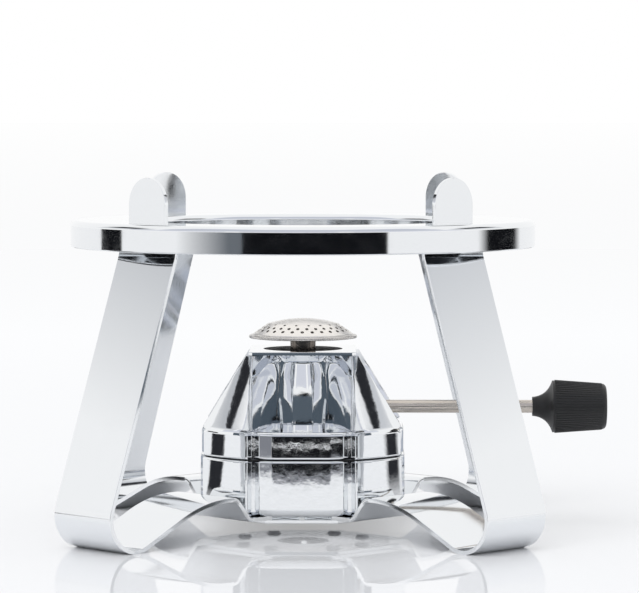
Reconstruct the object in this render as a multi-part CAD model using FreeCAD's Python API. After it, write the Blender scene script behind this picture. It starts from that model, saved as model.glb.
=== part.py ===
# A table-top gas burner in its pot stand. Millimetres, +Z up, the floor at z = 0 under the ring's centre,
# the control knob towards +X.
import FreeCAD
import Part
import math
import os

from FreeCAD import Vector

# Support ring: a pressed plate with a down-turned rim and a short lip round the hole
RING_RADIUS = 80.0
RING_HOLE_RADIUS = 57.5
RING_TOP = 106.7
RING_RIM_HEIGHT = 9.1
RING_LIP_HEIGHT = 4.5
RING_SHEET = 1.3
RING_EDGE_ROUND = 1.9
RING_CUT_ROUND = 0.3

# Legs: one bent strip each, on the diagonals
LEG_ANGLES = {"front_left": 225, "front_right": 315, "rear_left": 135, "rear_right": 45}
STRIP_WIDTH = 28.0
STRIP_SHEET = 1.4
TAB_WIDTH = 18.0
TAB_TOP = 122.0
TAB_RADIUS_PLACE = 71.0
SLOT_CLEARANCE = 0.15
FIT_GAP = 0.05
HOLE_GAP = 0.1
CRADLE_FLOOR = 7.4
STRIP_INNER_END = 15.2
STEP_FOOT = 38.2
STEP_CREST = 44.2
CREST_HEIGHT = 14.8
CREST_OUTER = 58.5
STEP_BEND = 3.4
CREST_BEND = 45.0
FOOT_BEND = 10.8
FOOT_CORNER = (107.3, -9.75)
LEG_TOP_BEND_HEIGHT = 96.5
LEG_TOP_BEND = 8.0

# Plate under the strips' inner ends, with two flush rivets through each strip
BASE_PLATE_APOTHEM = 30.0
BASE_PLATE_SHEET = 1.2
BASE_PLATE_HOLE_RADIUS = 9.0
RIVET_RADIUS = 1.5
RIVET_HEAD_RADIUS = 2.6
RIVET_HEAD_FOOT_RADIUS = 1.8
RIVET_HEAD_HEIGHT = 0.9
RIVET_PLACE = 22.0
RIVET_SIDES = (-7.0, 7.0)

# Burner shells: round corners on the diagonals, a flat panel on each side
SHELL_BOTTOM = 7.45
SEAM_LOW = 26.4
SEAM_HIGH = 26.75
SHOULDER = 36.0
SHELL_TOP = 62.0
LOWER_CORNER_RADIUS = 38.8
LOWER_HALF_WIDTH = 35.0
UPPER_CORNER_RADIUS = 38.5
UPPER_HALF_WIDTH = 34.6
TOP_CORNER_RADIUS = 25.0
TOP_HALF_WIDTH = 18.3
BOTTOM_ROUND = 2.6
SEAM_ROUND = 0.8
SHOULDER_ROUND = 2.0
TOP_ROUND = 0.5
SHELL_WALL = 1.6
PANEL_WALL = 2.7
PANEL_HALF_WIDTH = 14.2
FLUTE_RADIUS = 3.2
FLUTE_REACH = 4.3
GASKET_INSET = 1.2
GASKET_WIDTH = 1.5

# Windows in the upper shell: height and half widths of mouth and back at each level, and the lobe behind
WINDOW_MOUTH = 40.0
WINDOW_BACK = 10.5
WINDOW_LEVELS = ((36.3, 18.5, 9.6), (46.0, 21.8, 9.3), (54.0, 27.2, 9.0), (60.8, 36.4, 8.8))
LOBE_PLACE = 6.5
LOBE_FOOT_RADIUS = 9.9
LOBE_MIDDLE = (9.5, 46.0)
LOBE_WAIST = (7.6, 57.5)
LOBE_FLARE = (8.6, 59.5)
LOBE_RIM_RADIUS = 11.3
VALVE_BORE_RADIUS = 7.0
VALVE_BORE_TOP = 48.5
AIR_BORE_RADIUS = 5.0
AIR_RECESS_RADIUS = 10.0
AIR_RECESS_DEPTH = 1.6

# Fuel tank inside the shells
TANK_RADIUS = 29.2
TANK_BOTTOM = 9.4
TANK_TOP = 32.0
TANK_WALL = 0.8
TANK_LID = 1.4

# Valve block, jet and mixing tube on the burner's axis
ROD_HEIGHT = 42.0
VALVE_RADIUS = 6.9
VALVE_TOP = 45.5
VALVE_STUB_RADIUS = 3.0
VALVE_STUB_LENGTH = 3.4
JET_RADIUS = 3.0
JET_HEX_HEIGHT = 2.2
JET_ROOT_RADIUS = 2.1
JET_ROOT_DEPTH = 1.4
JET_TIP_RADIUS = 1.1
JET_TOP = 49.6
JET_HOLE_RADIUS = 0.3
GAS_WAY_RADIUS = 0.9
TUBE_RADIUS = 4.4
TUBE_WALL = 0.9
TUBE_BOTTOM = 51.0
TUBE_TOP = 67.2

# Dark disc sunk in the burner's top, with a ring of air holes
DISC_RADIUS = 13.6
DISC_SHEET = 0.9
DISC_TOP = 61.9
DISC_EDGE_ROUND = 0.3
AIR_HOLE_RADIUS = 1.0
AIR_HOLE_COUNT = 10
AIR_HOLE_PLACE = 7.6

# Burner head: a pan with a rolled flange, a perforated dome and a gauze between them
FLANGE_RADIUS = 18.7
FLANGE_HEIGHT = 66.3
FLANGE_ROLL = 0.55
PAN_SHEET = 0.7
PAN_COLLAR_RADIUS = 12.6
PAN_COLLAR_WALL = 0.7
DOME_RADIUS = 17.3
DOME_SIDE_FOOT = 67.2
DOME_SIDE_TOP = (12.3, 70.6)
DOME_TOP = 72.5
HEAD_SHEET = 0.6
HOLE_ROWS = ((15.3, 28, 0.0, 0.62), (13.8, 28, 0.5, 0.58), (12.1, 18, 0.0, 0.46))
GAUZE_RADIUS = 13.0
GAUZE_SHEET = 0.5
GAUZE_HEIGHT = 68.3
GAUZE_HOLE_RADIUS = 0.7
GAUZE_HOLE_SPACING = 2.7
GAUZE_RINGS = 4

# Control rod, gland and knob along +X
ROD_RADIUS = 2.25
ROD_START = 4.6
ROD_END = 96.0
ROD_CLEARANCE = 0.06
ROD_SOCKET_DEPTH = 7.2
GLAND_ACROSS_FLATS = 9.0
GLAND_START = 11.0
GLAND_LENGTH = 5.0
GLAND_CHAMFER = 0.5
GLAND_SEAT_RADIUS = 5.6
PACKING_RADIUS = 3.6
PACKING_START = 7.3
PACKING_END = 10.3
NEEDLE_RADIUS = 1.5
NEEDLE_TIP_RADIUS = 0.5
NEEDLE_START = 1.6
NEEDLE_POINT = 2.0
NEEDLE_LENGTH = 8.6
NEEDLE_CLEARANCE = 0.05
NEEDLE_SOCKET_GAP = 0.1
KNOB_NECK_START = 79.3
KNOB_NECK_RADIUS = 3.3
KNOB_WAIST = (83.6, 4.9)
KNOB_SHOULDER = 86.2
KNOB_SHOULDER_RADIUS = 9.2
KNOB_SHOULDER_WIDTH = 0.8
KNOB_END = 104.8
KNOB_END_RADIUS = 8.05
KNOB_END_ROUND = 1.3
KNOB_GROOVE_COUNT = 48
KNOB_GROOVE_RADIUS = 0.28
SET_SCREW_RADIUS = 1.25
SET_SCREW_LENGTH = 3.4
SET_SCREW_PLACE = 92.0
SET_SCREW_SOCKET = 0.6

# Refill valve in the middle of the lower shell's floor
REFILL_RADIUS = 4.0
REFILL_BOTTOM = 7.7
REFILL_TOP = 19.0
REFILL_FLANGE_RADIUS = 5.6
REFILL_CHAMBER_RADIUS = 2.6
REFILL_CHAMBER_FLOOR = 9.6
REFILL_CHAMBER_TOP = 18.0
REFILL_WAY_RADIUS = 0.8
PLUNGER_RADIUS = 1.2
PLUNGER_CLEARANCE = 0.06
PLUNGER_BOTTOM = 7.9
PLUNGER_HEAD_RADIUS = 2.1
PLUNGER_HEAD_BOTTOM = 10.4
PLUNGER_HEAD_TOP = 11.6
SEAL_RADIUS = 2.2
SPRING_RADIUS = 1.7
SPRING_WIRE_RADIUS = 0.2
SPRING_TURNS = 5
SPRING_END_GAP = 0.05

# Screws that draw the two shells together, on the diagonals
SCREW_PLACE = 33.6
SCREW_RADIUS = 1.5
SCREW_HEAD_RADIUS = 2.6
SCREW_HEAD_HEIGHT = 1.6
SCREW_SINK = 0.6
SCREW_SLOT = 0.8
SCREW_LENGTH = 26.0
BOSS_RADIUS = 3.8

# How far a cut runs past the face it opens, and a length beyond the whole object
PAST = 1.0
FAR = 300.0

AXIS_Z = Vector(0, 0, 1)
AXIS_X = Vector(1, 0, 0)
ORIGIN = Vector(0, 0, 0)
DIAGONALS = (45, 135, 225, 315)
SIDES = (0, 90, 180, 270)


def line(a, b):
    return Part.LineSegment(a, b).toShape()


def turned(shape, degrees, centre=ORIGIN, axis=AXIS_Z):
    copy = shape.copy()
    copy.rotate(centre, axis, degrees)
    return copy


def cylinder(radius, bottom, top, x=0.0, y=0.0):
    return Part.makeCylinder(radius, top - bottom, Vector(x, y, bottom), AXIS_Z)


def rod_cylinder(radius, start, end, height=ROD_HEIGHT):
    return Part.makeCylinder(radius, end - start, Vector(start, 0, height), AXIS_X)


def polygon_face(points):
    return Part.Face(Part.makePolygon([Vector(*p) for p in points] + [Vector(*points[0])]))


def rounded_path(corners, radii):
    """Edges of a path of straight runs whose inner corners are rounded."""
    edges = []
    here = corners[0]
    for before, corner, after, radius in zip(corners, corners[1:], corners[2:], radii):
        to_corner = (corner - before).normalize()
        from_corner = (after - corner).normalize()
        turn = to_corner.getAngle(from_corner)
        reach = radius * math.tan(turn / 2)
        start = corner - to_corner * reach
        end = corner + from_corner * reach
        inward = (from_corner - to_corner).normalize()
        centre = corner + inward * (radius / math.cos(turn / 2))
        edges.append(line(here, start))
        edges.append(Part.Arc(start, centre - inward * radius, end).toShape())
        here = end
    edges.append(line(here, corners[-1]))
    return edges


def offset_corners(corners, distance):
    """Corners of the path that runs beside another one in the XZ plane, to its left."""
    moved = []
    for index, corner in enumerate(corners):
        before = corners[max(index - 1, 0)]
        after = corners[min(index + 1, len(corners) - 1)]
        first = (corner - before) if index else (after - corner)
        last = (after - corner) if index < len(corners) - 1 else first
        left_first = Vector(-first.z, 0, first.x).normalize()
        left_last = Vector(-last.z, 0, last.x).normalize()
        middle = (left_first + left_last).normalize()
        moved.append(corner + middle * (distance / middle.dot(left_first)))
    return moved


def strip_face(corners, radii, thickness):
    """Side face of a bent strip: the rounded path with half the thickness on each side."""
    turns = []
    for before, corner, after in zip(corners, corners[1:], corners[2:]):
        first = corner - before
        last = after - corner
        turns.append(1 if first.x * last.z - first.z * last.x > 0 else -1)
    half = thickness / 2
    left = rounded_path(offset_corners(corners, half), [r - half * t for r, t in zip(radii, turns)])
    right = rounded_path(offset_corners(corners, -half), [r + half * t for r, t in zip(radii, turns)])
    caps = [
        line(left[0].Vertexes[0].Point, right[0].Vertexes[0].Point),
        line(left[-1].Vertexes[-1].Point, right[-1].Vertexes[-1].Point),
    ]
    return Part.Face(Part.Wire(Part.__sortEdges__(left + right + caps)))


def revolved(edges, axis=AXIS_Z, base=ORIGIN):
    face = Part.Face(Part.Wire(Part.__sortEdges__(edges)))
    return face.revolve(base, axis, 360)


def radius_profile(corners, radii):
    """Closed outline in the XZ plane from an open path that starts and ends on the axis."""
    points = [Vector(r, 0, z) for r, z in corners]
    return rounded_path(points, radii) + [line(points[-1], points[0])]


def save(name, shape):
    solids = shape.Solids
    if not solids or not all(s.isValid() for s in solids):
        raise ValueError(name + " is not a sound solid")
    result = solids[0] if len(solids) == 1 else Part.makeCompound(solids)
    result.exportStep("parts/" + name + ".step")
    print(name, len(solids), round(sum(s.Volume for s in solids), 1))


def support_ring():
    inside = RING_RADIUS - RING_SHEET
    corners = [
        (RING_HOLE_RADIUS, RING_TOP - RING_LIP_HEIGHT),
        (RING_HOLE_RADIUS, RING_TOP),
        (RING_RADIUS, RING_TOP),
        (RING_RADIUS, RING_TOP - RING_RIM_HEIGHT),
        (inside, RING_TOP - RING_RIM_HEIGHT),
        (inside, RING_TOP - RING_SHEET),
        (RING_HOLE_RADIUS + RING_SHEET, RING_TOP - RING_SHEET),
        (RING_HOLE_RADIUS + RING_SHEET, RING_TOP - RING_LIP_HEIGHT),
    ]
    bend = RING_EDGE_ROUND - RING_SHEET
    radii = [RING_EDGE_ROUND, RING_EDGE_ROUND, RING_CUT_ROUND, RING_CUT_ROUND, bend, bend]
    ring = revolved(radius_profile(corners, radii))
    slot = Part.makeBox(
        STRIP_SHEET + 2 * SLOT_CLEARANCE,
        TAB_WIDTH + 2 * SLOT_CLEARANCE,
        RING_RIM_HEIGHT,
        Vector(
            TAB_RADIUS_PLACE - STRIP_SHEET / 2 - SLOT_CLEARANCE,
            -TAB_WIDTH / 2 - SLOT_CLEARANCE,
            RING_TOP - RING_RIM_HEIGHT + PAST,
        ),
    )
    return ring.cut([turned(slot, a) for a in DIAGONALS])


def leg():
    """One strip, lying towards +X."""
    middle = CRADLE_FLOOR - STRIP_SHEET / 2
    crest = CREST_HEIGHT - STRIP_SHEET / 2
    corners = [
        Vector(STRIP_INNER_END, 0, middle),
        Vector(STEP_FOOT, 0, middle),
        Vector(STEP_CREST, 0, crest),
        Vector(CREST_OUTER, 0, crest),
        Vector(FOOT_CORNER[0], 0, FOOT_CORNER[1]),
        Vector(TAB_RADIUS_PLACE, 0, LEG_TOP_BEND_HEIGHT),
        Vector(TAB_RADIUS_PLACE, 0, TAB_TOP),
    ]
    radii = [STEP_BEND, STEP_BEND, CREST_BEND, FOOT_BEND, LEG_TOP_BEND]
    face = strip_face(corners, radii, STRIP_SHEET)
    strip = face.extrude(Vector(0, STRIP_WIDTH, 0))
    strip.translate(Vector(0, -STRIP_WIDTH / 2, 0))
    floor = Part.makeBox(FAR, STRIP_WIDTH, FAR, Vector(0, -STRIP_WIDTH / 2, -FAR))
    shoulder = RING_TOP - RING_SHEET
    inner = TAB_RADIUS_PLACE - STRIP_SHEET
    reach = 2 * STRIP_SHEET
    above = Part.makeBox(reach, STRIP_WIDTH, TAB_TOP, Vector(inner, -STRIP_WIDTH / 2, shoulder))
    half_tab = TAB_WIDTH / 2
    tab = Part.makeBox(reach, TAB_WIDTH, TAB_TOP - half_tab - shoulder, Vector(inner, -half_tab, shoulder))
    cap = Part.makeCylinder(half_tab, reach, Vector(inner, 0, TAB_TOP - half_tab), AXIS_X)
    rivets = [cylinder(RIVET_RADIUS, 0, CREST_HEIGHT, RIVET_PLACE, y) for y in RIVET_SIDES]
    return strip.cut([floor, above.cut([tab, cap])] + rivets)


def rivet_places():
    for angle in DIAGONALS:
        for side in RIVET_SIDES:
            point = FreeCAD.Rotation(AXIS_Z, angle).multVec(Vector(RIVET_PLACE, side, 0))
            yield point.x, point.y


def base_plate():
    top = CRADLE_FLOOR - STRIP_SHEET
    corner = BASE_PLATE_APOTHEM / math.cos(math.pi / 8)
    points = []
    for index in range(8):
        angle = 2 * math.pi * (index + 0.5) / 8
        points.append((corner * math.cos(angle), corner * math.sin(angle), top - BASE_PLATE_SHEET))
    plate = polygon_face(points).extrude(Vector(0, 0, BASE_PLATE_SHEET))
    plate = plate.cut(cylinder(BASE_PLATE_HOLE_RADIUS, 0, CRADLE_FLOOR))
    return plate.cut([cylinder(RIVET_RADIUS, 0, CRADLE_FLOOR, x, y) for x, y in rivet_places()])


def base_rivets():
    under = CRADLE_FLOOR - STRIP_SHEET - BASE_PLATE_SHEET
    rivets = []
    for x, y in rivet_places():
        shank = cylinder(RIVET_RADIUS, under, CRADLE_FLOOR, x, y)
        head = Part.makeCone(RIVET_HEAD_FOOT_RADIUS, RIVET_HEAD_RADIUS, RIVET_HEAD_HEIGHT,
                             Vector(x, y, under - RIVET_HEAD_HEIGHT), AXIS_Z)
        rivets.append(shank.fuse(head).removeSplitter())
    return Part.makeCompound(rivets)


def slab(corners, radii):
    """A block with one outline, mirrored about the axis, and long along Y."""
    right = [Vector(x, 0, z) for x, z in corners]
    path = rounded_path(right, radii)
    left = [turned(edge, 180) for edge in path]
    caps = [
        line(right[0], Vector(-right[0].x, 0, right[0].z)),
        line(right[-1], Vector(-right[-1].x, 0, right[-1].z)),
    ]
    face = Part.Face(Part.Wire(Part.__sortEdges__(path + left + caps)))
    block = face.extrude(Vector(0, FAR, 0))
    block.translate(Vector(0, -FAR / 2, 0))
    return block


def shell_outside(round_corners, flat_corners, radii, corner_radius, half_width):
    """Round corners and four flat sides with the same edge rounds, and flutes beside the panels."""
    body = revolved(radius_profile(
        [(0, round_corners[0][1])] + list(round_corners) + [(0, round_corners[-1][1])], radii))
    low, high = flat_corners[0], flat_corners[-1]
    flat = slab([(low[0] / 2, low[1])] + list(flat_corners) + [(high[0] / 2, high[1])], radii)
    body = body.common(flat).common(turned(flat, 90))
    outer = PANEL_HALF_WIDTH + FLUTE_REACH
    edge = Vector(PANEL_HALF_WIDTH, -half_width, 0)
    rim = Vector(outer, -math.sqrt(corner_radius ** 2 - outer ** 2), 0)
    across = (rim - edge)
    outward = Vector(across.y, -across.x, 0).normalize()
    depth = math.sqrt(FLUTE_RADIUS ** 2 - (across.Length / 2) ** 2)
    centre = (edge + rim) * 0.5 + outward * depth
    flutes = []
    for angle in SIDES:
        for side in (1, -1):
            flute = cylinder(FLUTE_RADIUS, 0, SHELL_TOP, side * centre.x, centre.y)
            flutes.append(turned(flute, angle))
    return body.cut(flutes)


def screw_places():
    for angle in DIAGONALS:
        yield SCREW_PLACE * math.cos(math.radians(angle)), SCREW_PLACE * math.sin(math.radians(angle))


def plan_prism(corner_radius, half_width, bottom, top):
    """Plain inner space: a cylinder with four flat sides."""
    box = Part.makeBox(2 * half_width, 2 * half_width, top - bottom, Vector(-half_width, -half_width, bottom))
    return cylinder(corner_radius, bottom, top).common(box)


def lower_shell():
    radius = LOWER_CORNER_RADIUS
    half = LOWER_HALF_WIDTH
    levels = (SHELL_BOTTOM, SEAM_LOW)
    body = shell_outside([(radius, z) for z in levels], [(half, z) for z in levels],
                         [BOTTOM_ROUND, SEAM_ROUND], radius, half)
    floor = SHELL_BOTTOM + SHELL_WALL
    inside = plan_prism(radius - SHELL_WALL, half - PANEL_WALL, floor, SEAM_LOW + PAST)
    bosses = [cylinder(BOSS_RADIUS, floor, SEAM_LOW + PAST, x, y) for x, y in screw_places()]
    body = body.cut(inside.cut(bosses))
    holes = [cylinder(SCREW_RADIUS + HOLE_GAP, 0, SEAM_LOW + PAST, x, y) for x, y in screw_places()]
    seat = SHELL_BOTTOM + SCREW_SINK + SCREW_HEAD_HEIGHT
    heads = [cylinder(SCREW_HEAD_RADIUS + HOLE_GAP, 0, seat, x, y) for x, y in screw_places()]
    return body.cut(holes + heads + [cylinder(REFILL_RADIUS + HOLE_GAP, 0, floor + PAST)])


def window():
    """The space of the window that faces -Y, before the lobe stands in it."""
    wires = []
    for height, mouth, back in WINDOW_LEVELS:
        front = [(-mouth, -WINDOW_MOUTH), (mouth, -WINDOW_MOUTH)]
        rear = [(back, -WINDOW_BACK), (-back, -WINDOW_BACK)]
        closed = [Vector(x, y, height) for x, y in front + rear + front[:1]]
        wires.append(Part.makePolygon(closed))
    return Part.makeLoft(wires, True, True)


def lobe():
    """The convex lobe at the back of the window that faces -Y, flared under the top."""
    foot = WINDOW_LEVELS[0][0] - PAST
    top = WINDOW_LEVELS[-1][0]
    profile = [(LOBE_FOOT_RADIUS, foot), LOBE_MIDDLE, LOBE_WAIST, LOBE_FLARE, (LOBE_RIM_RADIUS, top)]
    root, middle, waist, flare, rim = [Vector(r, 0, z) for r, z in profile]
    cover = Vector(LOBE_RIM_RADIUS, 0, top + PAST)
    summit = Vector(0, 0, top + PAST)
    edges = [
        line(Vector(0, 0, foot), root),
        Part.Arc(root, middle, waist).toShape(),
        Part.Arc(waist, flare, rim).toShape(),
        line(rim, cover),
        line(cover, summit),
        line(summit, Vector(0, 0, foot)),
    ]
    shape = revolved(edges)
    shape.translate(Vector(0, -LOBE_PLACE, 0))
    return shape


def upper_shell():
    radius = UPPER_CORNER_RADIUS
    half = UPPER_HALF_WIDTH
    round_corners = [(radius, SEAM_HIGH), (radius, SHOULDER), (TOP_CORNER_RADIUS, SHELL_TOP)]
    flat_corners = [(half, SEAM_HIGH), (half, SHOULDER), (TOP_HALF_WIDTH, SHELL_TOP)]
    body = shell_outside(round_corners, flat_corners, [SEAM_ROUND, SHOULDER_ROUND, TOP_ROUND], radius, half)
    spaces = window().cut(lobe())
    body = body.cut([turned(spaces, a) for a in SIDES])
    inside = plan_prism(radius - SHELL_WALL, half - PANEL_WALL, SEAM_HIGH - PAST, SHOULDER - SHELL_WALL)
    bosses = [cylinder(BOSS_RADIUS, SEAM_HIGH - PAST, SHOULDER, x, y) for x, y in screw_places()]
    body = body.cut(inside.cut(bosses))
    bores = [
        cylinder(VALVE_BORE_RADIUS, SEAM_HIGH, VALVE_BORE_TOP),
        cylinder(AIR_BORE_RADIUS, SEAM_HIGH, SHELL_TOP + PAST),
        cylinder(AIR_RECESS_RADIUS, SHELL_TOP - AIR_RECESS_DEPTH, SHELL_TOP + PAST),
        cylinder(DISC_RADIUS + FIT_GAP, DISC_TOP - DISC_SHEET, SHELL_TOP + PAST),
        rod_cylinder(PACKING_RADIUS + FIT_GAP, 0, GLAND_START),
        rod_cylinder(GLAND_SEAT_RADIUS, GLAND_START, WINDOW_MOUTH),
    ]
    depth = SHELL_BOTTOM + SCREW_LENGTH + PAST
    bores += [cylinder(SCREW_RADIUS + FIT_GAP, SEAM_LOW, depth, x, y) for x, y in screw_places()]
    return body.cut(bores)


def seam_gasket():
    radius = UPPER_CORNER_RADIUS - GASKET_INSET
    half = UPPER_HALF_WIDTH - GASKET_INSET
    outer = plan_prism(radius, half, SEAM_LOW, SEAM_HIGH)
    inner = plan_prism(radius - GASKET_WIDTH, half - GASKET_WIDTH, SEAM_LOW - PAST, SEAM_HIGH + PAST)
    bosses = [cylinder(BOSS_RADIUS, SEAM_LOW, SEAM_HIGH, x, y) for x, y in screw_places()]
    ring = outer.cut(inner).fuse([b.common(outer) for b in bosses])
    return ring.cut([cylinder(SCREW_RADIUS + HOLE_GAP, 0, SHELL_TOP, x, y) for x, y in screw_places()])


def shell_screws():
    screws = []
    seat = SHELL_BOTTOM + SCREW_SINK
    for x, y in screw_places():
        head = cylinder(SCREW_HEAD_RADIUS, seat, seat + SCREW_HEAD_HEIGHT, x, y)
        slot = Part.makeBox(2 * SCREW_HEAD_RADIUS, SCREW_SLOT, SCREW_SLOT,
                            Vector(x - SCREW_HEAD_RADIUS, y - SCREW_SLOT / 2, seat))
        shank = cylinder(SCREW_RADIUS, seat + SCREW_HEAD_HEIGHT, SHELL_BOTTOM + SCREW_LENGTH, x, y)
        screws.append(head.fuse(shank).removeSplitter().cut(slot))
    return Part.makeCompound(screws)


def tank_cup():
    cup = cylinder(TANK_RADIUS, TANK_BOTTOM, TANK_TOP)
    cup = cup.cut(cylinder(TANK_RADIUS - TANK_WALL, TANK_BOTTOM + TANK_WALL, TANK_TOP + PAST))
    return cup.cut(cylinder(REFILL_RADIUS + HOLE_GAP, 0, TANK_TOP))


def tank_lid():
    lid = cylinder(TANK_RADIUS, TANK_TOP, TANK_TOP + TANK_LID)
    return lid.cut(cylinder(VALVE_STUB_RADIUS + FIT_GAP, 0, TANK_TOP + TANK_LID + PAST))


def valve_body():
    seat = TANK_TOP + TANK_LID
    stub = cylinder(VALVE_STUB_RADIUS, seat - VALVE_STUB_LENGTH, seat)
    block = cylinder(VALVE_RADIUS, seat, VALVE_TOP).fuse(stub).removeSplitter()
    ways = [
        cylinder(GAS_WAY_RADIUS, 0, VALVE_TOP + PAST),
        cylinder(JET_ROOT_RADIUS + FIT_GAP, VALVE_TOP - JET_ROOT_DEPTH, VALVE_TOP + PAST),
        rod_cylinder(NEEDLE_TIP_RADIUS + FIT_GAP, 0, NEEDLE_START + PAST),
        rod_cylinder(NEEDLE_RADIUS + NEEDLE_CLEARANCE, NEEDLE_START, GLAND_START),
        rod_cylinder(ROD_RADIUS + ROD_CLEARANCE, ROD_START - FIT_GAP, GLAND_START),
    ]
    return block.cut(ways)


def jet_nozzle():
    corners = []
    for index in range(6):
        angle = math.radians(60 * index)
        corners.append((JET_RADIUS * math.cos(angle), JET_RADIUS * math.sin(angle), VALVE_TOP))
    hexagon = polygon_face(corners).extrude(Vector(0, 0, JET_HEX_HEIGHT))
    shoulder = VALVE_TOP + JET_HEX_HEIGHT
    tip = Part.makeCone(JET_ROOT_RADIUS, JET_TIP_RADIUS, JET_TOP - shoulder, Vector(0, 0, shoulder), AXIS_Z)
    root = cylinder(JET_ROOT_RADIUS, VALVE_TOP - JET_ROOT_DEPTH, VALVE_TOP)
    jet = hexagon.fuse([tip, root]).removeSplitter()
    return jet.cut([cylinder(JET_HOLE_RADIUS, 0, JET_TOP + PAST), cylinder(GAS_WAY_RADIUS, 0, shoulder)])


def mixing_tube():
    tube = cylinder(TUBE_RADIUS, TUBE_BOTTOM, TUBE_TOP)
    return tube.cut(cylinder(TUBE_RADIUS - TUBE_WALL, TUBE_BOTTOM - PAST, TUBE_TOP + PAST))


def circle_holes(radius, place, count, bottom, top, first=0.0):
    holes = []
    for index in range(count):
        angle = 2 * math.pi * (index + first) / count
        holes.append(cylinder(radius, bottom, top, place * math.cos(angle), place * math.sin(angle)))
    return holes


def top_plate():
    under = DISC_TOP - DISC_SHEET
    disc = cylinder(DISC_RADIUS, under, DISC_TOP)
    rim = [e for e in disc.Edges if isinstance(e.Curve, Part.Circle) and e.BoundBox.ZMin > under]
    disc = disc.makeFillet(DISC_EDGE_ROUND, rim)
    holes = circle_holes(AIR_HOLE_RADIUS, AIR_HOLE_PLACE, AIR_HOLE_COUNT, under - PAST, SHELL_TOP + PAST)
    return disc.cut(holes + [cylinder(TUBE_RADIUS + FIT_GAP, 0, SHELL_TOP + PAST)])


def cap_pan():
    low = FLANGE_HEIGHT - FLANGE_ROLL
    high = FLANGE_HEIGHT + FLANGE_ROLL
    roll = FLANGE_RADIUS - FLANGE_ROLL
    collar = PAN_COLLAR_RADIUS - PAN_COLLAR_WALL
    hole = TUBE_RADIUS + FIT_GAP
    ring = [
        (roll, high), (PAN_COLLAR_RADIUS, high), (PAN_COLLAR_RADIUS, GAUZE_HEIGHT), (collar, GAUZE_HEIGHT),
        (collar, low + PAN_SHEET), (hole, low + PAN_SHEET), (hole, low), (roll, low),
    ]
    points = [Vector(r, 0, z) for r, z in ring]
    edges = [line(a, b) for a, b in zip(points, points[1:])]
    edges.append(Part.Arc(points[-1], Vector(FLANGE_RADIUS, 0, FLANGE_HEIGHT), points[0]).toShape())
    return revolved(edges)


def dome(radius, foot, side_top, top):
    """A dome from its foot: a short upright wall, a sloping side and a round crown."""
    low = FLANGE_HEIGHT + FLANGE_ROLL
    rise = top - side_top[1]
    crown_radius = (side_top[0] ** 2 + rise ** 2) / (2 * rise)
    middle = side_top[0] / 2
    crown = Vector(middle, 0, top - crown_radius + math.sqrt(crown_radius ** 2 - middle ** 2))
    start = Vector(radius, 0, low)
    bend = Vector(radius, 0, foot)
    shoulder = Vector(side_top[0], 0, side_top[1])
    summit = Vector(0, 0, top)
    edges = [
        line(start, bend),
        line(bend, shoulder),
        Part.Arc(shoulder, crown, summit).toShape(),
        line(summit, Vector(0, 0, low)),
        line(Vector(0, 0, low), start),
    ]
    return revolved(edges)


def burner_cap():
    outside = dome(DOME_RADIUS, DOME_SIDE_FOOT, DOME_SIDE_TOP, DOME_TOP)
    inner_top = (DOME_SIDE_TOP[0], DOME_SIDE_TOP[1] - HEAD_SHEET)
    inside = dome(DOME_RADIUS - HEAD_SHEET, DOME_SIDE_FOOT - HEAD_SHEET / 2, inner_top, DOME_TOP - HEAD_SHEET)
    slope = (DOME_SIDE_TOP[1] - DOME_SIDE_FOOT) / (DOME_RADIUS - DOME_SIDE_TOP[0])
    outward = Vector(slope, 0, 1).normalize()
    holes = []
    for place, count, first, radius in HOLE_ROWS:
        height = DOME_SIDE_FOOT + (DOME_RADIUS - place) * slope
        middle = Vector(place, 0, min(height, DOME_SIDE_TOP[1]))
        drill = Part.makeCylinder(radius, 4 * HEAD_SHEET, middle - outward * (2 * HEAD_SHEET), outward)
        holes += [turned(drill, 360 * (index + first) / count) for index in range(count)]
    return outside.cut(inside).cut(holes)


def flame_gauze():
    disc = cylinder(GAUZE_RADIUS, GAUZE_HEIGHT, GAUZE_HEIGHT + GAUZE_SHEET)
    holes = []
    for ring in range(1, GAUZE_RINGS + 1):
        holes += circle_holes(GAUZE_HOLE_RADIUS, GAUZE_HOLE_SPACING * ring, 6 * ring,
                              GAUZE_HEIGHT - PAST, GAUZE_HEIGHT + PAST)
    return disc.cut(holes)


def control_rod():
    rod = rod_cylinder(ROD_RADIUS, ROD_START, ROD_END)
    return rod.cut(rod_cylinder(NEEDLE_RADIUS + NEEDLE_SOCKET_GAP, 0, ROD_START + ROD_SOCKET_DEPTH))


def valve_needle():
    point = Part.makeCone(NEEDLE_TIP_RADIUS, NEEDLE_RADIUS, NEEDLE_POINT,
                          Vector(NEEDLE_START, 0, ROD_HEIGHT), AXIS_X)
    shank = rod_cylinder(NEEDLE_RADIUS, NEEDLE_START + NEEDLE_POINT, NEEDLE_START + NEEDLE_LENGTH)
    return point.fuse(shank).removeSplitter()


def gland_nut():
    corner = GLAND_ACROSS_FLATS / math.sqrt(3)
    points = []
    for index in range(6):
        angle = math.radians(60 * index)
        points.append((GLAND_START, corner * math.sin(angle), ROD_HEIGHT + corner * math.cos(angle)))
    nut = polygon_face(points).extrude(Vector(GLAND_LENGTH, 0, 0))
    end = corner - GLAND_CHAMFER
    chamfer = Part.makeCone(end + GLAND_LENGTH, end, GLAND_LENGTH,
                            Vector(GLAND_START, 0, ROD_HEIGHT), AXIS_X)
    nut = nut.common(chamfer).fuse(rod_cylinder(PACKING_RADIUS, PACKING_END, GLAND_START)).removeSplitter()
    return nut.cut(rod_cylinder(ROD_RADIUS + ROD_CLEARANCE, 0, GLAND_START + GLAND_LENGTH + PAST))


def gland_packing():
    ring = rod_cylinder(PACKING_RADIUS, PACKING_START, PACKING_END)
    return ring.cut(rod_cylinder(ROD_RADIUS + ROD_CLEARANCE, 0, GLAND_START))


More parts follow.
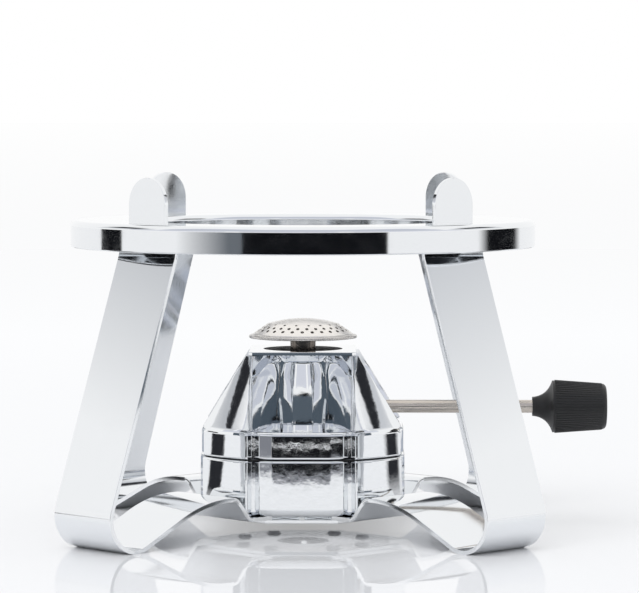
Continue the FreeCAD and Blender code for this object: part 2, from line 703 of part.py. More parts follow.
def control_knob():
    neck = Vector(KNOB_NECK_START, 0, KNOB_NECK_RADIUS)
    shoulder = Vector(KNOB_SHOULDER, 0, KNOB_SHOULDER_RADIUS)
    grip = Vector(KNOB_SHOULDER + KNOB_SHOULDER_WIDTH, 0, KNOB_SHOULDER_RADIUS)
    end = Vector(KNOB_END, 0, KNOB_END_RADIUS)
    outer = rounded_path([grip, end, Vector(KNOB_END, 0, 0)], [KNOB_END_ROUND])
    edges = [
        Part.Arc(neck, Vector(KNOB_WAIST[0], 0, KNOB_WAIST[1]), shoulder).toShape(),
        line(shoulder, grip),
        line(Vector(KNOB_END, 0, 0), Vector(KNOB_NECK_START, 0, 0)),
        line(Vector(KNOB_NECK_START, 0, 0), neck),
    ]
    knob = revolved(edges + outer, AXIS_X)
    along = end - grip
    groove = Part.makeCylinder(KNOB_GROOVE_RADIUS, along.Length - KNOB_END_ROUND, grip, along)
    grooves = [turned(groove, 360 * i / KNOB_GROOVE_COUNT, ORIGIN, AXIS_X) for i in range(KNOB_GROOVE_COUNT)]
    knob = knob.cut(grooves)
    knob.translate(Vector(0, 0, ROD_HEIGHT))
    hole = Part.makeCylinder(SET_SCREW_RADIUS + FIT_GAP, KNOB_SHOULDER_RADIUS + PAST,
                             Vector(SET_SCREW_PLACE, 0, ROD_HEIGHT), Vector(0, 1, 0))
    return knob.cut([rod_cylinder(ROD_RADIUS + FIT_GAP, KNOB_NECK_START - PAST, ROD_END + FIT_GAP), hole])


def knob_set_screw():
    start = Vector(SET_SCREW_PLACE, ROD_RADIUS + FIT_GAP, ROD_HEIGHT)
    screw = Part.makeCylinder(SET_SCREW_RADIUS, SET_SCREW_LENGTH, start, Vector(0, 1, 0))
    socket = Part.makeCylinder(SET_SCREW_SOCKET, SET_SCREW_LENGTH / 2,
                               start + Vector(0, SET_SCREW_LENGTH / 2, 0), Vector(0, 1, 0))
    return screw.cut(socket)


def refill_valve_body():
    floor = SHELL_BOTTOM + SHELL_WALL
    body = cylinder(REFILL_RADIUS, REFILL_BOTTOM, REFILL_TOP)
    body = body.fuse(cylinder(REFILL_FLANGE_RADIUS, floor, TANK_BOTTOM)).removeSplitter()
    return body.cut([
        cylinder(PLUNGER_RADIUS + PLUNGER_CLEARANCE, 0, REFILL_CHAMBER_FLOOR),
        cylinder(REFILL_CHAMBER_RADIUS, REFILL_CHAMBER_FLOOR, REFILL_CHAMBER_TOP),
        cylinder(REFILL_WAY_RADIUS, REFILL_CHAMBER_TOP, REFILL_TOP + PAST),
    ])


def refill_plunger():
    pin = cylinder(PLUNGER_RADIUS, PLUNGER_BOTTOM, PLUNGER_HEAD_BOTTOM)
    return pin.fuse(cylinder(PLUNGER_HEAD_RADIUS, PLUNGER_HEAD_BOTTOM, PLUNGER_HEAD_TOP)).removeSplitter()


def refill_seal():
    ring = cylinder(SEAL_RADIUS, REFILL_CHAMBER_FLOOR + FIT_GAP, PLUNGER_HEAD_BOTTOM)
    return ring.cut(cylinder(PLUNGER_RADIUS + FIT_GAP, 0, REFILL_TOP))


def refill_spring():
    bottom = PLUNGER_HEAD_TOP + SPRING_WIRE_RADIUS + SPRING_END_GAP
    rise = REFILL_CHAMBER_TOP - SPRING_WIRE_RADIUS - SPRING_END_GAP - bottom

    def on_coil(turn):
        angle = 2 * math.pi * turn
        return Vector(SPRING_RADIUS * math.cos(angle), SPRING_RADIUS * math.sin(angle),
                      bottom + rise * turn / SPRING_TURNS)

    quarter = 0.25
    arcs = []
    for index in range(int(SPRING_TURNS / quarter)):
        start = index * quarter
        points = [on_coil(start + quarter * share) for share in (0, 0.5, 1)]
        arcs.append(Part.Arc(*points).toShape())
    path = Part.Wire(arcs)
    along = arcs[0].tangentAt(arcs[0].FirstParameter)
    section = Part.Wire(Part.makeCircle(SPRING_WIRE_RADIUS, on_coil(0), along))
    return path.makePipeShell([section], True, False)


def main():
    os.makedirs("parts", exist_ok=True)
    strip = leg()
    for place, angle in LEG_ANGLES.items():
        save("leg_" + place, turned(strip, angle))
    makers = [
        support_ring, base_plate, base_rivets, lower_shell, upper_shell, seam_gasket, shell_screws,
        tank_cup, tank_lid, valve_body, jet_nozzle, mixing_tube, top_plate, cap_pan, burner_cap, flame_gauze,
        control_rod, valve_needle, gland_nut, gland_packing, control_knob, knob_set_screw,
        refill_valve_body, refill_plunger, refill_seal, refill_spring,
    ]
    for maker in makers:
        save(maker.__name__, maker())


main()
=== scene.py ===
"""The finished look of a chrome table-top gas burner in its pot stand. Metres, +Z up, knob towards +X."""
import math

import bmesh
import bpy
from bpy.props import FloatProperty, FloatVectorProperty, IntProperty, PointerProperty
from mathutils import Matrix, Vector


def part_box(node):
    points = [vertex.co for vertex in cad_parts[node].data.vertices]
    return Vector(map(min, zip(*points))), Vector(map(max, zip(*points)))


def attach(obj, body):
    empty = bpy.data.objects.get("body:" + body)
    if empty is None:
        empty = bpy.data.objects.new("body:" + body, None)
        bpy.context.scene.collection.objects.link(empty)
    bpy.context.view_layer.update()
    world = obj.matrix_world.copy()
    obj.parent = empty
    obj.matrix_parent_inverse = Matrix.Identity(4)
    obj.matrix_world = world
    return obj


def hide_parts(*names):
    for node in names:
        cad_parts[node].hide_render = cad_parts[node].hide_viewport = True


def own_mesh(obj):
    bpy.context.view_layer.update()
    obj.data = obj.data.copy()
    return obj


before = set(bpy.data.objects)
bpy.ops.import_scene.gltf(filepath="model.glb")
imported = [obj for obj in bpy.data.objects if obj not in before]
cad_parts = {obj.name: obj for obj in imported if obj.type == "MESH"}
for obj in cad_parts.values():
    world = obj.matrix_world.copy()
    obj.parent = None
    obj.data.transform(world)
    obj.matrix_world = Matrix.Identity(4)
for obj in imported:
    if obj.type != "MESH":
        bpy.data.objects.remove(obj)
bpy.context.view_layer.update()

bl_info = {
    "name": "Table-top gas burner",
    "version": (1, 0, 0),
    "blender": (4, 5, 0),
    "location": "3D View > Sidebar > Burner",
    "description": "Builds the finished look of a table-top gas burner in its pot stand",
    "category": "Object",
}

MM = 0.001
SIDES = (0, 90, 180, 270)
LEG_ANGLES = {"leg_front_left": 225, "leg_front_right": 315, "leg_rear_left": 135, "leg_rear_right": 45}
AXIS_X = Vector((1, 0, 0))
AXIS_Z = Vector((0, 0, 1))

# Photograph frame in pixels, and the camera that its perspective was fitted to
PHOTO_WIDTH = 639
SENSOR_WIDTH = 36.0
FOCAL_PIXELS = 3362
CAMERA_DISTANCE = 1.160
CAMERA_HEIGHT = 0.144
CAMERA_AZIMUTH = 0.7
TARGET = Vector((0.0057, 0.0, 0.080))


def millimetres(*sizes):
    """Sizes given in millimetres, in metres."""
    return tuple(size * MM for size in sizes)


# Stage: floor, light levels, and the tones of the cards and their height over the floor
FLOOR_REACH = 40.0
FLOOR_GLOSS = 0.07
WORLD_LIGHT = 0.80
KEY_LIGHT = 0.9
KEY_SPREAD = 50
KEY_TILT = (28, -18, 0)
LIFT = 0.6 * MM
BLACK = "#101114"
DARK = "#2B2C30"
SLATE = "#56606A"
SMOKE = "#6C7177"
GREY = "#85878E"
SHADE = "#C2C4C8"
SOFT_SHADE = "#D0D2D6"
LILAC = "#CDD0DA"
PALE = "#DCDEE7"
CRISP = 0.03
MEETING = 0.001

# Ring: radius of its cut edges, and the clearance of its slots
RING_CUT_ROUND = 0.35 * MM
SLOT_GAP = 0.15 * MM

# Legs: corners of a strip's path from under the burner up to the ring, their bends, and its cut edges
CRADLE_HEIGHT, CREST_HEIGHT, KNEE_HEIGHT = millimetres(6.7, 14.1, 96.5)
STRIP_START, STEP_FOOT, STEP_TOP, ARM_TOP = millimetres(15.2, 38.2, 44.2, 58.5)
FOOT_CORNER = millimetres(107.3, -9.75)
STRIP_BENDS = millimetres(3.4, 3.4, 45, 10.8, 8)
STRIP_ROUND = 0.3 * MM
TAB_PIECES = 12
PLATE_ROUND = 0.25 * MM

# Shells: how many pieces make up each stretch of their skin
PANEL_PIECES = 5
CORNER_PIECES = 14
BOTTOM_PIECES = 9
EDGE_PIECES = 4
SHOULDER_PIECES = 5
MOUTH_PIECES = 4
RIDGE_PIECES = 8
COVE_PIECES = 9
LOBE_STEPS = 8
WINDOW_ROWS = 40

# Shells: bends of a panel's margin and of its flute, of a ridge's shoulder, a window's mouth and the top
MARGIN_BEND = 4 * MM
FLUTE_BENDS = millimetres(0.8, 1.2, 0.8)
RIDGE_BEND = 1.2 * MM
MOUTH_ROUND = 0.8 * MM
TOP_ROUND = 0.25 * MM

# Shells: filling hole, screw holes, and the gland's seat and bore as place, radius and half length
FILLING_RADIUS = 4.1 * MM
SCREW_PLACE, SCREW_RADIUS, SCREW_REACH = millimetres(33.6, 2.7, 2.2)
GLAND_SEAT = millimetres(25.5, 5.6, 14.5)
GLAND_BORE = millimetres(6, 3.65, 6)

# Windows, in millimetres: half widths by height at the back and far out, and the lobe's radius by height
WINDOW_REACH = 40 * MM
WINDOW_BACKS = ((36.3, 9.6), (46.0, 9.3), (54.0, 9.0), (60.8, 8.8))
WINDOW_MOUTHS = ((36.3, 18.5), (46.0, 21.8), (54.0, 27.2), (60.8, 36.4))
LOBE_PROFILE = ((35.3, 9.9), (41.0, 9.8), (46.0, 9.45), (51.5, 8.75), (56.0, 7.85), (57.9, 7.5),
                (58.4, 7.8), (59.4, 9.4), (60.6, 11.3))
COVE_SHARE = 0.1
COVE_REACH = 0.3
LEDGE_SHARES = (0.25, 0.5, 0.75, 0.93)
ROW_CROWDING = 1.4

# Steps of the upper shell's bore from the top down, as radius and height in millimetres
SHELL_BORES = ((13.65, 62.0), (13.65, 61.0), (10.0, 61.0), (10.0, 60.4), (5.0, 60.4), (5.0, 48.5),
               (7.0, 48.5))

# Head: where the dome's slope ends, its foot's bend, its holes as place, first and radius, and the pan
SLOPE_RADIUS, SLOPE_TOP = millimetres(12.3, 70.6)
DOME_BEND = 1.4 * MM
LOW_ROW = (15.3 * MM, 0.0, 0.62 * MM)
MIDDLE_ROW = (13.8 * MM, 0.5, 0.58 * MM)
HIGH_ROW = (12.1 * MM, 0.0, 0.46 * MM)
PAN_SHEET, PAN_COLLAR, COLLAR_TOP, PAN_BORE = millimetres(0.7, 12.6, 68.3, 4.45)

# Knob: radius of its ribs, the middle of its flare, its grip's start and end, and its bore
RIB_RADIUS = 0.24 * MM
FLARE_MIDDLE = millimetres(83.6, 4.9)
FLARE_PIECES = 10
GRIP_INSET = 0.8 * MM
KNOB_ROUND = 1.6 * MM
KNOB_BORE, BORE_END = millimetres(2.3, 96.05)

# Refill valve's spring
SPRING_TURNS = 5.0
SPRING_WIRE = 0.2 * MM


def linear(hex_colour):
    """Linear RGBA of an sRGB hex colour."""
    channels = []
    for index in (1, 3, 5):
        value = int(hex_colour[index:index + 2], 16) / 255
        channels.append(value / 12.92 if value <= 0.04045 else ((value + 0.055) / 1.055) ** 2.4)
    return (*channels, 1.0)


def per_mm(size):
    """Texture scale whose pattern repeats about every size millimetres, on Object coordinates in metres."""
    return 1 / (size * MM)


def add_node(tree, kind, settings=None, values=None, links=None):
    """A node with its settings, its sockets' values and the links into its sockets."""
    made = tree.nodes.new(kind)
    for name, value in (settings or {}).items():
        setattr(made, name, value)
    for name, value in (values or {}).items():
        made.inputs[name].default_value = value
    for name, socket in (links or {}).items():
        tree.links.new(socket, made.inputs[name])
    return made


def new_finish(name, colour, metallic, roughness):
    """A material with its shader's uniform values, its node tree, its shader and its Object coordinates."""
    material = bpy.data.materials.new(name)
    material.use_nodes = True
    tree = material.node_tree
    shader = tree.nodes["Principled BSDF"]
    shader.inputs["Base Color"].default_value = colour
    shader.inputs["Metallic"].default_value = metallic
    shader.inputs["Roughness"].default_value = roughness
    place = add_node(tree, "ShaderNodeTexCoord").outputs["Object"]
    return material, tree, shader, place


# Sizes and colours


def length(name, description, size):
    return FloatProperty(name=name, description=description, default=size * MM, subtype="DISTANCE",
                         unit="LENGTH", precision=5)


def count(name, description, number):
    return IntProperty(name=name, description=description, default=number, min=1)


def colour(name, description, hex_colour):
    return FloatVectorProperty(name=name, description=description, default=linear(hex_colour), size=4,
                               subtype="COLOR", min=0, max=1)


class StandSizes(bpy.types.PropertyGroup):
    """Sizes of the pot stand."""
    ring_radius: length("Ring radius", "Outer radius of the support ring", 80.0)
    hole_radius: length("Hole radius", "Radius of the hole in the ring", 57.5)
    ring_top: length("Ring top", "Height of the ring's upper face", 106.7)
    rim_height: length("Rim height", "Height of the down-turned rim", 9.1)
    lip_height: length("Lip height", "Height of the lip round the hole", 4.5)
    ring_sheet: length("Ring sheet", "Thickness of the pressed ring", 1.3)
    ring_edge: length("Ring edge", "Radius of the ring's pressed edges", 1.9)
    strip_width: length("Strip width", "Width of a leg", 28.0)
    strip_sheet: length("Strip sheet", "Thickness of a leg", 1.4)
    tab_width: length("Tab width", "Width of the tab above the ring", 18.0)
    tab_top: length("Tab top", "Height of the tab's round top", 122.0)
    tab_place: length("Tab place", "Distance of the tab from the ring's axis", 71.0)


class ShellSizes(bpy.types.PropertyGroup):
    """Sizes of the burner's two shells."""
    bottom: length("Bottom", "Height of the lower shell's floor", 7.45)
    seam_low: length("Seam low", "Upper edge of the lower shell", 26.4)
    seam_high: length("Seam high", "Lower edge of the upper shell", 26.75)
    shoulder: length("Shoulder", "Height where the ridges start to lean in", 36.0)
    top: length("Top", "Height of the upper shell's top", 62.0)
    lower_half: length("Lower half width", "Distance of the lower panels from the axis", 35.0)
    lower_radius: length("Lower radius", "Radius of the lower round corners", 38.8)
    upper_half: length("Upper half width", "Distance of the upper panels from the axis", 34.6)
    upper_radius: length("Upper radius", "Radius of the upper round corners", 38.5)
    top_half: length("Top half width", "Distance of the top's flat sides from the axis", 18.3)
    top_radius: length("Top radius", "Radius of the top's round corners", 25.0)
    panel_half: length("Panel half width", "Half width of a panel", 14.2)
    margin: length("Margin", "Width of a panel's sloping margin", 4.6)
    margin_drop: length("Margin drop", "How far the margin slopes in", 1.35)
    flute_width: length("Flute width", "Width of the flute beside a panel", 4.3)
    flute_depth: length("Flute depth", "Depth of the flute behind the panel", 3.4)
    bottom_round: length("Bottom round", "Radius of the lower shell's bottom edge", 2.6)
    seam_round: length("Seam round", "Radius of the edges at the seam", 0.8)
    shoulder_round: length("Shoulder round", "Radius of a panel's upper edge", 1.4)
    wall: length("Wall", "Thickness of the shells' round corners", 1.6)
    panel_wall: length("Panel wall", "Thickness of the shells' panels", 2.7)
    window_foot: length("Window foot", "Height of a window's ledge at its back", 36.9)
    window_top: length("Window top", "Height where a window's back meets the top", 60.6)
    window_back: length("Window back", "Distance of a window's back from the axis", 10.5)
    lobe_place: length("Lobe place", "Distance of a lobe's axis from the burner's axis", 6.5)


class HeadSizes(bpy.types.PropertyGroup):
    """Sizes of the burner's head."""
    flange_radius: length("Flange radius", "Outer radius of the rolled flange", 18.7)
    flange_height: length("Flange height", "Height of the middle of the rolled flange", 66.3)
    flange_roll: length("Flange roll", "Radius of the flange's rolled edge", 0.55)
    dome_radius: length("Dome radius", "Radius of the dome at its foot", 17.3)
    dome_foot: length("Dome foot", "Height where the dome's slope starts", 67.2)
    dome_top: length("Dome top", "Height of the dome's crown", 72.5)
    dome_sheet: length("Dome sheet", "Thickness of the dome", 0.6)
    low_holes: count("Low holes", "Holes in each of the two lower rows", 28)
    high_holes: count("High holes", "Holes in the upper row", 18)


class ControlSizes(bpy.types.PropertyGroup):
    """Sizes of the control rod and its knob."""
    rod_height: length("Rod height", "Height of the rod's axis", 42.0)
    knob_start: length("Knob start", "Where the knob's neck begins", 79.3)
    knob_shoulder: length("Knob shoulder", "Where the knob is widest", 86.2)
    knob_end: length("Knob end", "Outer face of the knob", 104.8)
    neck_radius: length("Neck radius", "Radius of the knob's neck", 3.3)
    shoulder_radius: length("Shoulder radius", "Largest radius of the knob", 9.2)
    end_radius: length("End radius", "Radius of the knob at its outer face", 8.05)
    rib_count: count("Rib count", "Ribs round the knob's grip", 60)


class FinishColours(bpy.types.PropertyGroup):
    """Colours of the finishes."""
    chrome: colour("Chrome", "Bright plating on sheet and castings", "#EEF0F2")
    steel: colour("Steel", "Spun stainless steel of the dome", "#F2EEE9")
    rod: colour("Rod", "Drawn stainless steel of the control rod", "#D1C9C0")
    rim: colour("Rim", "Rolled steel of the burner's rim", "#D2CECA")
    nickel: colour("Dark nickel", "Dark plating round the stem", "#77706A")
    oxide: colour("Black oxide", "Dark disc sunk in the top", "#2C2D30")
    brass: colour("Brass", "Turned brass", "#C9A55C")
    alloy: colour("Alloy", "Drawn aluminium", "#C9CACC")
    zinc: colour("Zinc", "Zinc-plated steel", "#B4B6BA")
    plastic: colour("Plastic", "Moulded black plastic", "#1C1C1D")
    rubber: colour("Rubber", "Black rubber", "#17181A")


GROUPS = {"stand_sizes": StandSizes, "shell_sizes": ShellSizes, "head_sizes": HeadSizes,
          "control_sizes": ControlSizes, "finish_colours": FinishColours}


# Finishes


def surfaced(tree, shader, haze, roughness, relief, depth):
    """Spreads one pattern between two roughnesses and gives another's relief, its depth in millimetres."""
    low, high = roughness
    spread = add_node(tree, "ShaderNodeMapRange", links={"Value": haze},
                      values={"From Min": 0.3, "From Max": 0.7, "To Min": low, "To Max": high})
    bump = add_node(tree, "ShaderNodeBump", links={"Height": relief},
                    values={"Distance": depth * MM, "Strength": 1.0})
    tree.links.new(spread.outputs["Result"], shader.inputs["Roughness"])
    tree.links.new(bump.outputs["Normal"], shader.inputs["Normal"])


def plated(name, base, roughness, haze_size, haze_detail, wave_size, wave_detail, depth):
    """Bright plating: a fine haze in its gloss, and the waves of the metal under it."""
    material, tree, shader, place = new_finish(name, base, 1.0, roughness[0])
    haze = add_node(tree, "ShaderNodeTexNoise", links={"Vector": place},
                    values={"Scale": per_mm(haze_size), "Detail": haze_detail})
    waves = add_node(tree, "ShaderNodeTexNoise", links={"Vector": place},
                     values={"Scale": per_mm(wave_size), "Detail": wave_detail})
    surfaced(tree, shader, haze.outputs["Fac"], roughness, waves.outputs["Fac"], depth)
    return material


def grained(name, base, metallic, roughness, grain, depth, stretch=(1, 1, 1), detail=4.0):
    """A finish whose gloss and relief both follow a grain of a size in millimetres, perhaps drawn out."""
    material, tree, shader, place = new_finish(name, base, metallic, sum(roughness) / 2)
    drawn = add_node(tree, "ShaderNodeMapping", links={"Vector": place}, values={"Scale": stretch})
    noise = add_node(tree, "ShaderNodeTexNoise", links={"Vector": drawn.outputs["Vector"]},
                     values={"Scale": per_mm(grain), "Detail": detail})
    surfaced(tree, shader, noise.outputs["Fac"], roughness, noise.outputs["Fac"], depth)
    return material


def turned_steel(base):
    """Stainless steel whose gloss and relief both follow fine rings round the axis."""
    material, tree, shader, place = new_finish("turned_steel", base, 1.0, 0.3)
    split = add_node(tree, "ShaderNodeSeparateXYZ", links={"Vector": place})
    flat = add_node(tree, "ShaderNodeCombineXYZ", links={"X": split.outputs["X"], "Y": split.outputs["Y"]})
    away = add_node(tree, "ShaderNodeVectorMath", {"operation": "LENGTH"}, links={0: flat.outputs["Vector"]})
    rings = add_node(tree, "ShaderNodeCombineXYZ",
                     links={"X": away.outputs["Value"], "Y": split.outputs["Z"]})
    lines = add_node(tree, "ShaderNodeTexNoise", links={"Vector": rings.outputs["Vector"]},
                     values={"Scale": per_mm(0.35), "Detail": 3.0})
    surfaced(tree, shader, lines.outputs["Fac"], (0.24, 0.4), lines.outputs["Fac"], 0.006)
    return material


def make_finishes(colours):
    """Every finish by name, each with what its making gives the eye."""
    return {
        # Chromium plate on bent steel strip: bright, with the slow waves of the sheet under it
        "sheet": plated("chromed_sheet", colours.chrome, (0.05, 0.1), 5, 6.0, 26, 1.0, 0.022),
        # Chromium plate on a zinc die casting: bright, but the casting's skin makes reflections ripple
        "casting": plated("chromed_casting", colours.chrome, (0.03, 0.08), 2, 5.0, 3.2, 3.0, 0.02),
        # Stainless steel spun and brushed on the lathe: fine rings and soft pale reflections
        "turned": turned_steel(colours.steel),
        # Rolled steel: a grey satin sheen, duller than the dome
        "rolled": grained("rolled_steel", colours.rim, 1.0, (0.22, 0.34), 0.5, 0.004),
        # Drawn stainless rod: long fine streaks along it, drawn coarser than real so that they show
        "drawn": grained("drawn_steel", colours.rod, 1.0, (0.16, 0.34), 0.3, 0.008, (0.04, 1, 1), 3.0),
        # Dark nickel plate on turned steel: deep grey, with fine upright draw lines and soft highlights
        "nickel": grained("dark_nickel", colours.nickel, 1.0, (0.14, 0.28), 0.9, 0.008, (1, 1, 0.05), 3.0),
        # Turned brass: a warm satin gleam with faint tool marks
        "brass": grained("turned_brass", colours.brass, 1.0, (0.18, 0.32), 0.6, 0.004),
        # Drawn aluminium: pale, with a soft even haze
        "alloy": grained("drawn_aluminium", colours.alloy, 1.0, (0.25, 0.42), 1.2, 0.006),
        # Zinc-plated steel: a dull bluish grey with a slight mottle
        "zinc": grained("zinc_plated_steel", colours.zinc, 1.0, (0.25, 0.45), 0.8, 0.005),
        # Moulded ABS: near black, with a fine mould grain that breaks up its highlights
        "plastic": grained("moulded_abs", colours.plastic, 0.0, (0.36, 0.5), 0.25, 0.012),
        # Black oxide on steel: flat and dark, almost without highlights
        "oxide": grained("black_oxide", colours.oxide, 0.0, (0.55, 0.7), 0.5, 0.004),
        # Nitrile rubber: matt black that only softens the light
        "rubber": grained("nitrile_rubber", colours.rubber, 0.0, (0.6, 0.8), 0.4, 0.01),
    }


FINISHES = {}


# Mesh helpers


def rounded(corners, radii, step=6.0, pieces=None):
    """Points of a path in a plane whose inner corners are arcs, with a point about every step degrees."""
    points = [Vector(corners[0])]
    for before, corner, after, radius in zip(corners, corners[1:], corners[2:], radii):
        corner = Vector(corner)
        arriving = (corner - Vector(before)).normalized()
        leaving = (Vector(after) - corner).normalized()
        turn = arriving.angle(leaving)
        inward = (leaving - arriving).normalized()
        centre = corner + inward * (radius / math.cos(turn / 2))
        start = corner - arriving * (radius * math.tan(turn / 2)) - centre
        side = 1 if arriving.cross(leaving) > 0 else -1
        number = pieces or max(2, math.ceil(math.degrees(turn) / step))
        for index in range(number + 1):
            angle = side * turn * index / number
            points.append(centre + Matrix.Rotation(angle, 2) @ start)
    points.append(Vector(corners[-1]))
    return points


def arc(centre, radius, first, last, pieces):
    """Points of an arc in a plane, in degrees."""
    angles = [math.radians(first + (last - first) * index / pieces) for index in range(pieces + 1)]
    return [Vector((centre[0] + radius * math.cos(a), centre[1] + radius * math.sin(a))) for a in angles]


def lathe(name, outline, turns=192, closed=True, axis="Z", height=0.0):
    """A turned mesh from (radius, along) points: a closed ring outline, or an open one from axis to axis."""
    form = bmesh.new()
    rows = []
    for radius, along in outline:
        row = []
        for index in range(turns if radius > 1e-7 else 1):
            angle = 2 * math.pi * index / turns
            across = Vector((radius * math.cos(angle), radius * math.sin(angle)))
            place = (across.x, across.y, along) if axis == "Z" else (along, across.x, height + across.y)
            row.append(form.verts.new(place))
        rows.append(row)
    pairs = list(zip(rows, rows[1:])) + ([(rows[-1], rows[0])] if closed else [])
    for low, high in pairs:
        for index in range(turns):
            after = (index + 1) % turns
            steps = ((low, index), (low, after), (high, after), (high, index))
            unique = list(dict.fromkeys(row[step % len(row)] for row, step in steps))
            if len(unique) > 2:
                form.faces.new(unique)
    bmesh.ops.recalc_face_normals(form, faces=form.faces)
    return to_object(name, form)


def to_object(name, form):
    """The bmesh as an object at the origin."""
    mesh = bpy.data.meshes.new(name)
    form.to_mesh(mesh)
    form.free()
    made = bpy.data.objects.new(name, mesh)
    bpy.context.scene.collection.objects.link(made)
    return made


def evaluated(thing):
    """Makes the object's modifiers part of its mesh."""
    graph = bpy.context.evaluated_depsgraph_get()
    mesh = bpy.data.meshes.new_from_object(thing.evaluated_get(graph))
    old = thing.data
    thing.modifiers.clear()
    thing.data = mesh
    bpy.data.meshes.remove(old)
    return thing


def smoothed(thing, sharp=32.0, round_edges=0.0, segments=3):
    """Rounds the sharp edges by a width in metres and shades the rest smooth, with flat faces kept flat."""
    if round_edges:
        bevel = thing.modifiers.new("rounded edges", "BEVEL")
        bevel.width = round_edges
        bevel.segments = segments
        bevel.limit_method = "ANGLE"
        bevel.angle_limit = math.radians(sharp)
        bevel.use_clamp_overlap = True
        evaluated(thing)
    thing.data.shade_smooth()
    thing.data.set_sharp_from_angle(angle=math.radians(sharp))
    weighted = thing.modifiers.new("flat faces", "WEIGHTED_NORMAL")
    weighted.keep_sharp = True
    weighted.weight = 80
    return evaluated(thing)


def cut(thing, tools):
    """Cuts tool objects out of a piece and removes them."""
    for tool in tools:
        knife = thing.modifiers.new("cut", "BOOLEAN")
        knife.operation = "DIFFERENCE"
        knife.solver = "EXACT"
        knife.object = tool
    evaluated(thing)
    for tool in tools:
        bpy.data.objects.remove(tool)
    return thing


def block(name, low, high):
    """A cutting block between two corners."""
    form = bmesh.new()
    bmesh.ops.create_cube(form, size=1)
    middle = (Vector(low) + Vector(high)) / 2
    size = Vector(high) - Vector(low)
    place = Matrix.Translation(middle) @ Matrix.Diagonal((*size, 1))
    bmesh.ops.transform(form, matrix=place, verts=form.verts)
    return to_object(name, form)


def turn_mesh(thing, degrees, axis="Z"):
    """Turns a piece's mesh about an axis through the origin."""
    thing.data.transform(Matrix.Rotation(math.radians(degrees), 4, axis))
    return thing


def dressed_copy(node, merge=0.004 * MM):
    """A copy of a packed node's mesh whose points are merged and whose flat faces are whole."""
    form = bmesh.new()
    form.from_mesh(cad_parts[node].data)
    bmesh.ops.remove_doubles(form, verts=form.verts, dist=merge)
    bmesh.ops.dissolve_limit(form, angle_limit=math.radians(0.4), verts=form.verts, edges=form.edges)
    return to_object(node + "_finished", form)


def joined(name, things):
    """One piece from several."""
    form = bmesh.new()
    for thing in things:
        form.from_mesh(thing.data)
        bpy.data.objects.remove(thing)
    return to_object(name, form)


def hand_over(thing, finish, body, slot, *nodes):
    """Gives a finished piece its material and body, and hides the nodes that it stands for; its record slot
    is not used.
    """
    thing.data.materials.clear()
    thing.data.materials.append(FINISHES[finish])
    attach(thing, body)
    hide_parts(*nodes)
    return thing


def refinish(finish, *nodes):
    """Gives packed nodes that keep their own shape a finish."""
    for node in nodes:
        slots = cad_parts[node].data.materials
        slots.clear()
        slots.append(FINISHES[finish])


# Geometry node trees


def tree_inputs(tree, sockets):
    """Gives a tree its named inputs and its result, and returns the inputs."""
    for name, kind in sockets.items():
        tree.interface.new_socket(name, in_out="INPUT", socket_type=kind)
    tree.interface.new_socket("Result", in_out="OUTPUT", socket_type="NodeSocketGeometry")
    return add_node(tree, "NodeGroupInput").outputs


def turned_copies(tree, given, piece):
    """Copies of a piece, turned in even steps about an axis."""
    points = add_node(tree, "GeometryNodePoints", links={"Count": given["Count"]})
    index = add_node(tree, "GeometryNodeInputIndex")
    step = add_node(tree, "ShaderNodeMath", {"operation": "DIVIDE"}, {0: 2 * math.pi}, {1: given["Count"]})
    place = add_node(tree, "ShaderNodeMath", {"operation": "ADD"}, None,
                     {0: index.outputs["Index"], 1: given["First"]})
    angle = add_node(tree, "ShaderNodeMath", {"operation": "MULTIPLY"}, None,
                     {0: place.outputs["Value"], 1: step.outputs["Value"]})
    turn = add_node(tree, "FunctionNodeAxisAngleToRotation",
                    links={"Axis": given["Axis"], "Angle": angle.outputs["Value"]})
    copies = add_node(tree, "GeometryNodeInstanceOnPoints",
                      links={"Points": points.outputs["Points"], "Instance": piece,
                             "Rotation": turn.outputs["Rotation"]})
    return add_node(tree, "GeometryNodeRealizeInstances", links={"Geometry": copies.outputs["Instances"]})


def end_tree(tree, geometry, material):
    """Gives the tree's result its material."""
    finished = add_node(tree, "GeometryNodeSetMaterial", links={"Geometry": geometry, "Material": material})
    add_node(tree, "NodeGroupOutput", links={"Result": finished.outputs["Geometry"]})
    return tree


RING_SOCKETS = {"Piece": "NodeSocketGeometry", "Count": "NodeSocketInt", "First": "NodeSocketFloat",
                "Axis": "NodeSocketVector", "Finish": "NodeSocketMaterial"}


def ring_of_copies():
    """Copies the piece itself round an axis."""
    tree = bpy.data.node_groups.new("ring_of_copies", "GeometryNodeTree")
    given = tree_inputs(tree, RING_SOCKETS)
    copies = turned_copies(tree, given, given["Piece"])
    return end_tree(tree, copies.outputs["Geometry"], given["Finish"])


def ring_of_holes():
    """Drills the piece with copies of a drill round an axis."""
    tree = bpy.data.node_groups.new("ring_of_holes", "GeometryNodeTree")
    given = tree_inputs(tree, {**RING_SOCKETS, "Drill": "NodeSocketObject"})
    drill = add_node(tree, "GeometryNodeObjectInfo", links={"Object": given["Drill"]})
    copies = turned_copies(tree, given, drill.outputs["Geometry"])
    holes = add_node(tree, "GeometryNodeMeshBoolean", {"operation": "DIFFERENCE"},
                     links={"Mesh 1": given["Piece"], "Mesh 2": copies.outputs["Geometry"]})
    return end_tree(tree, holes.outputs["Mesh"], given["Finish"])


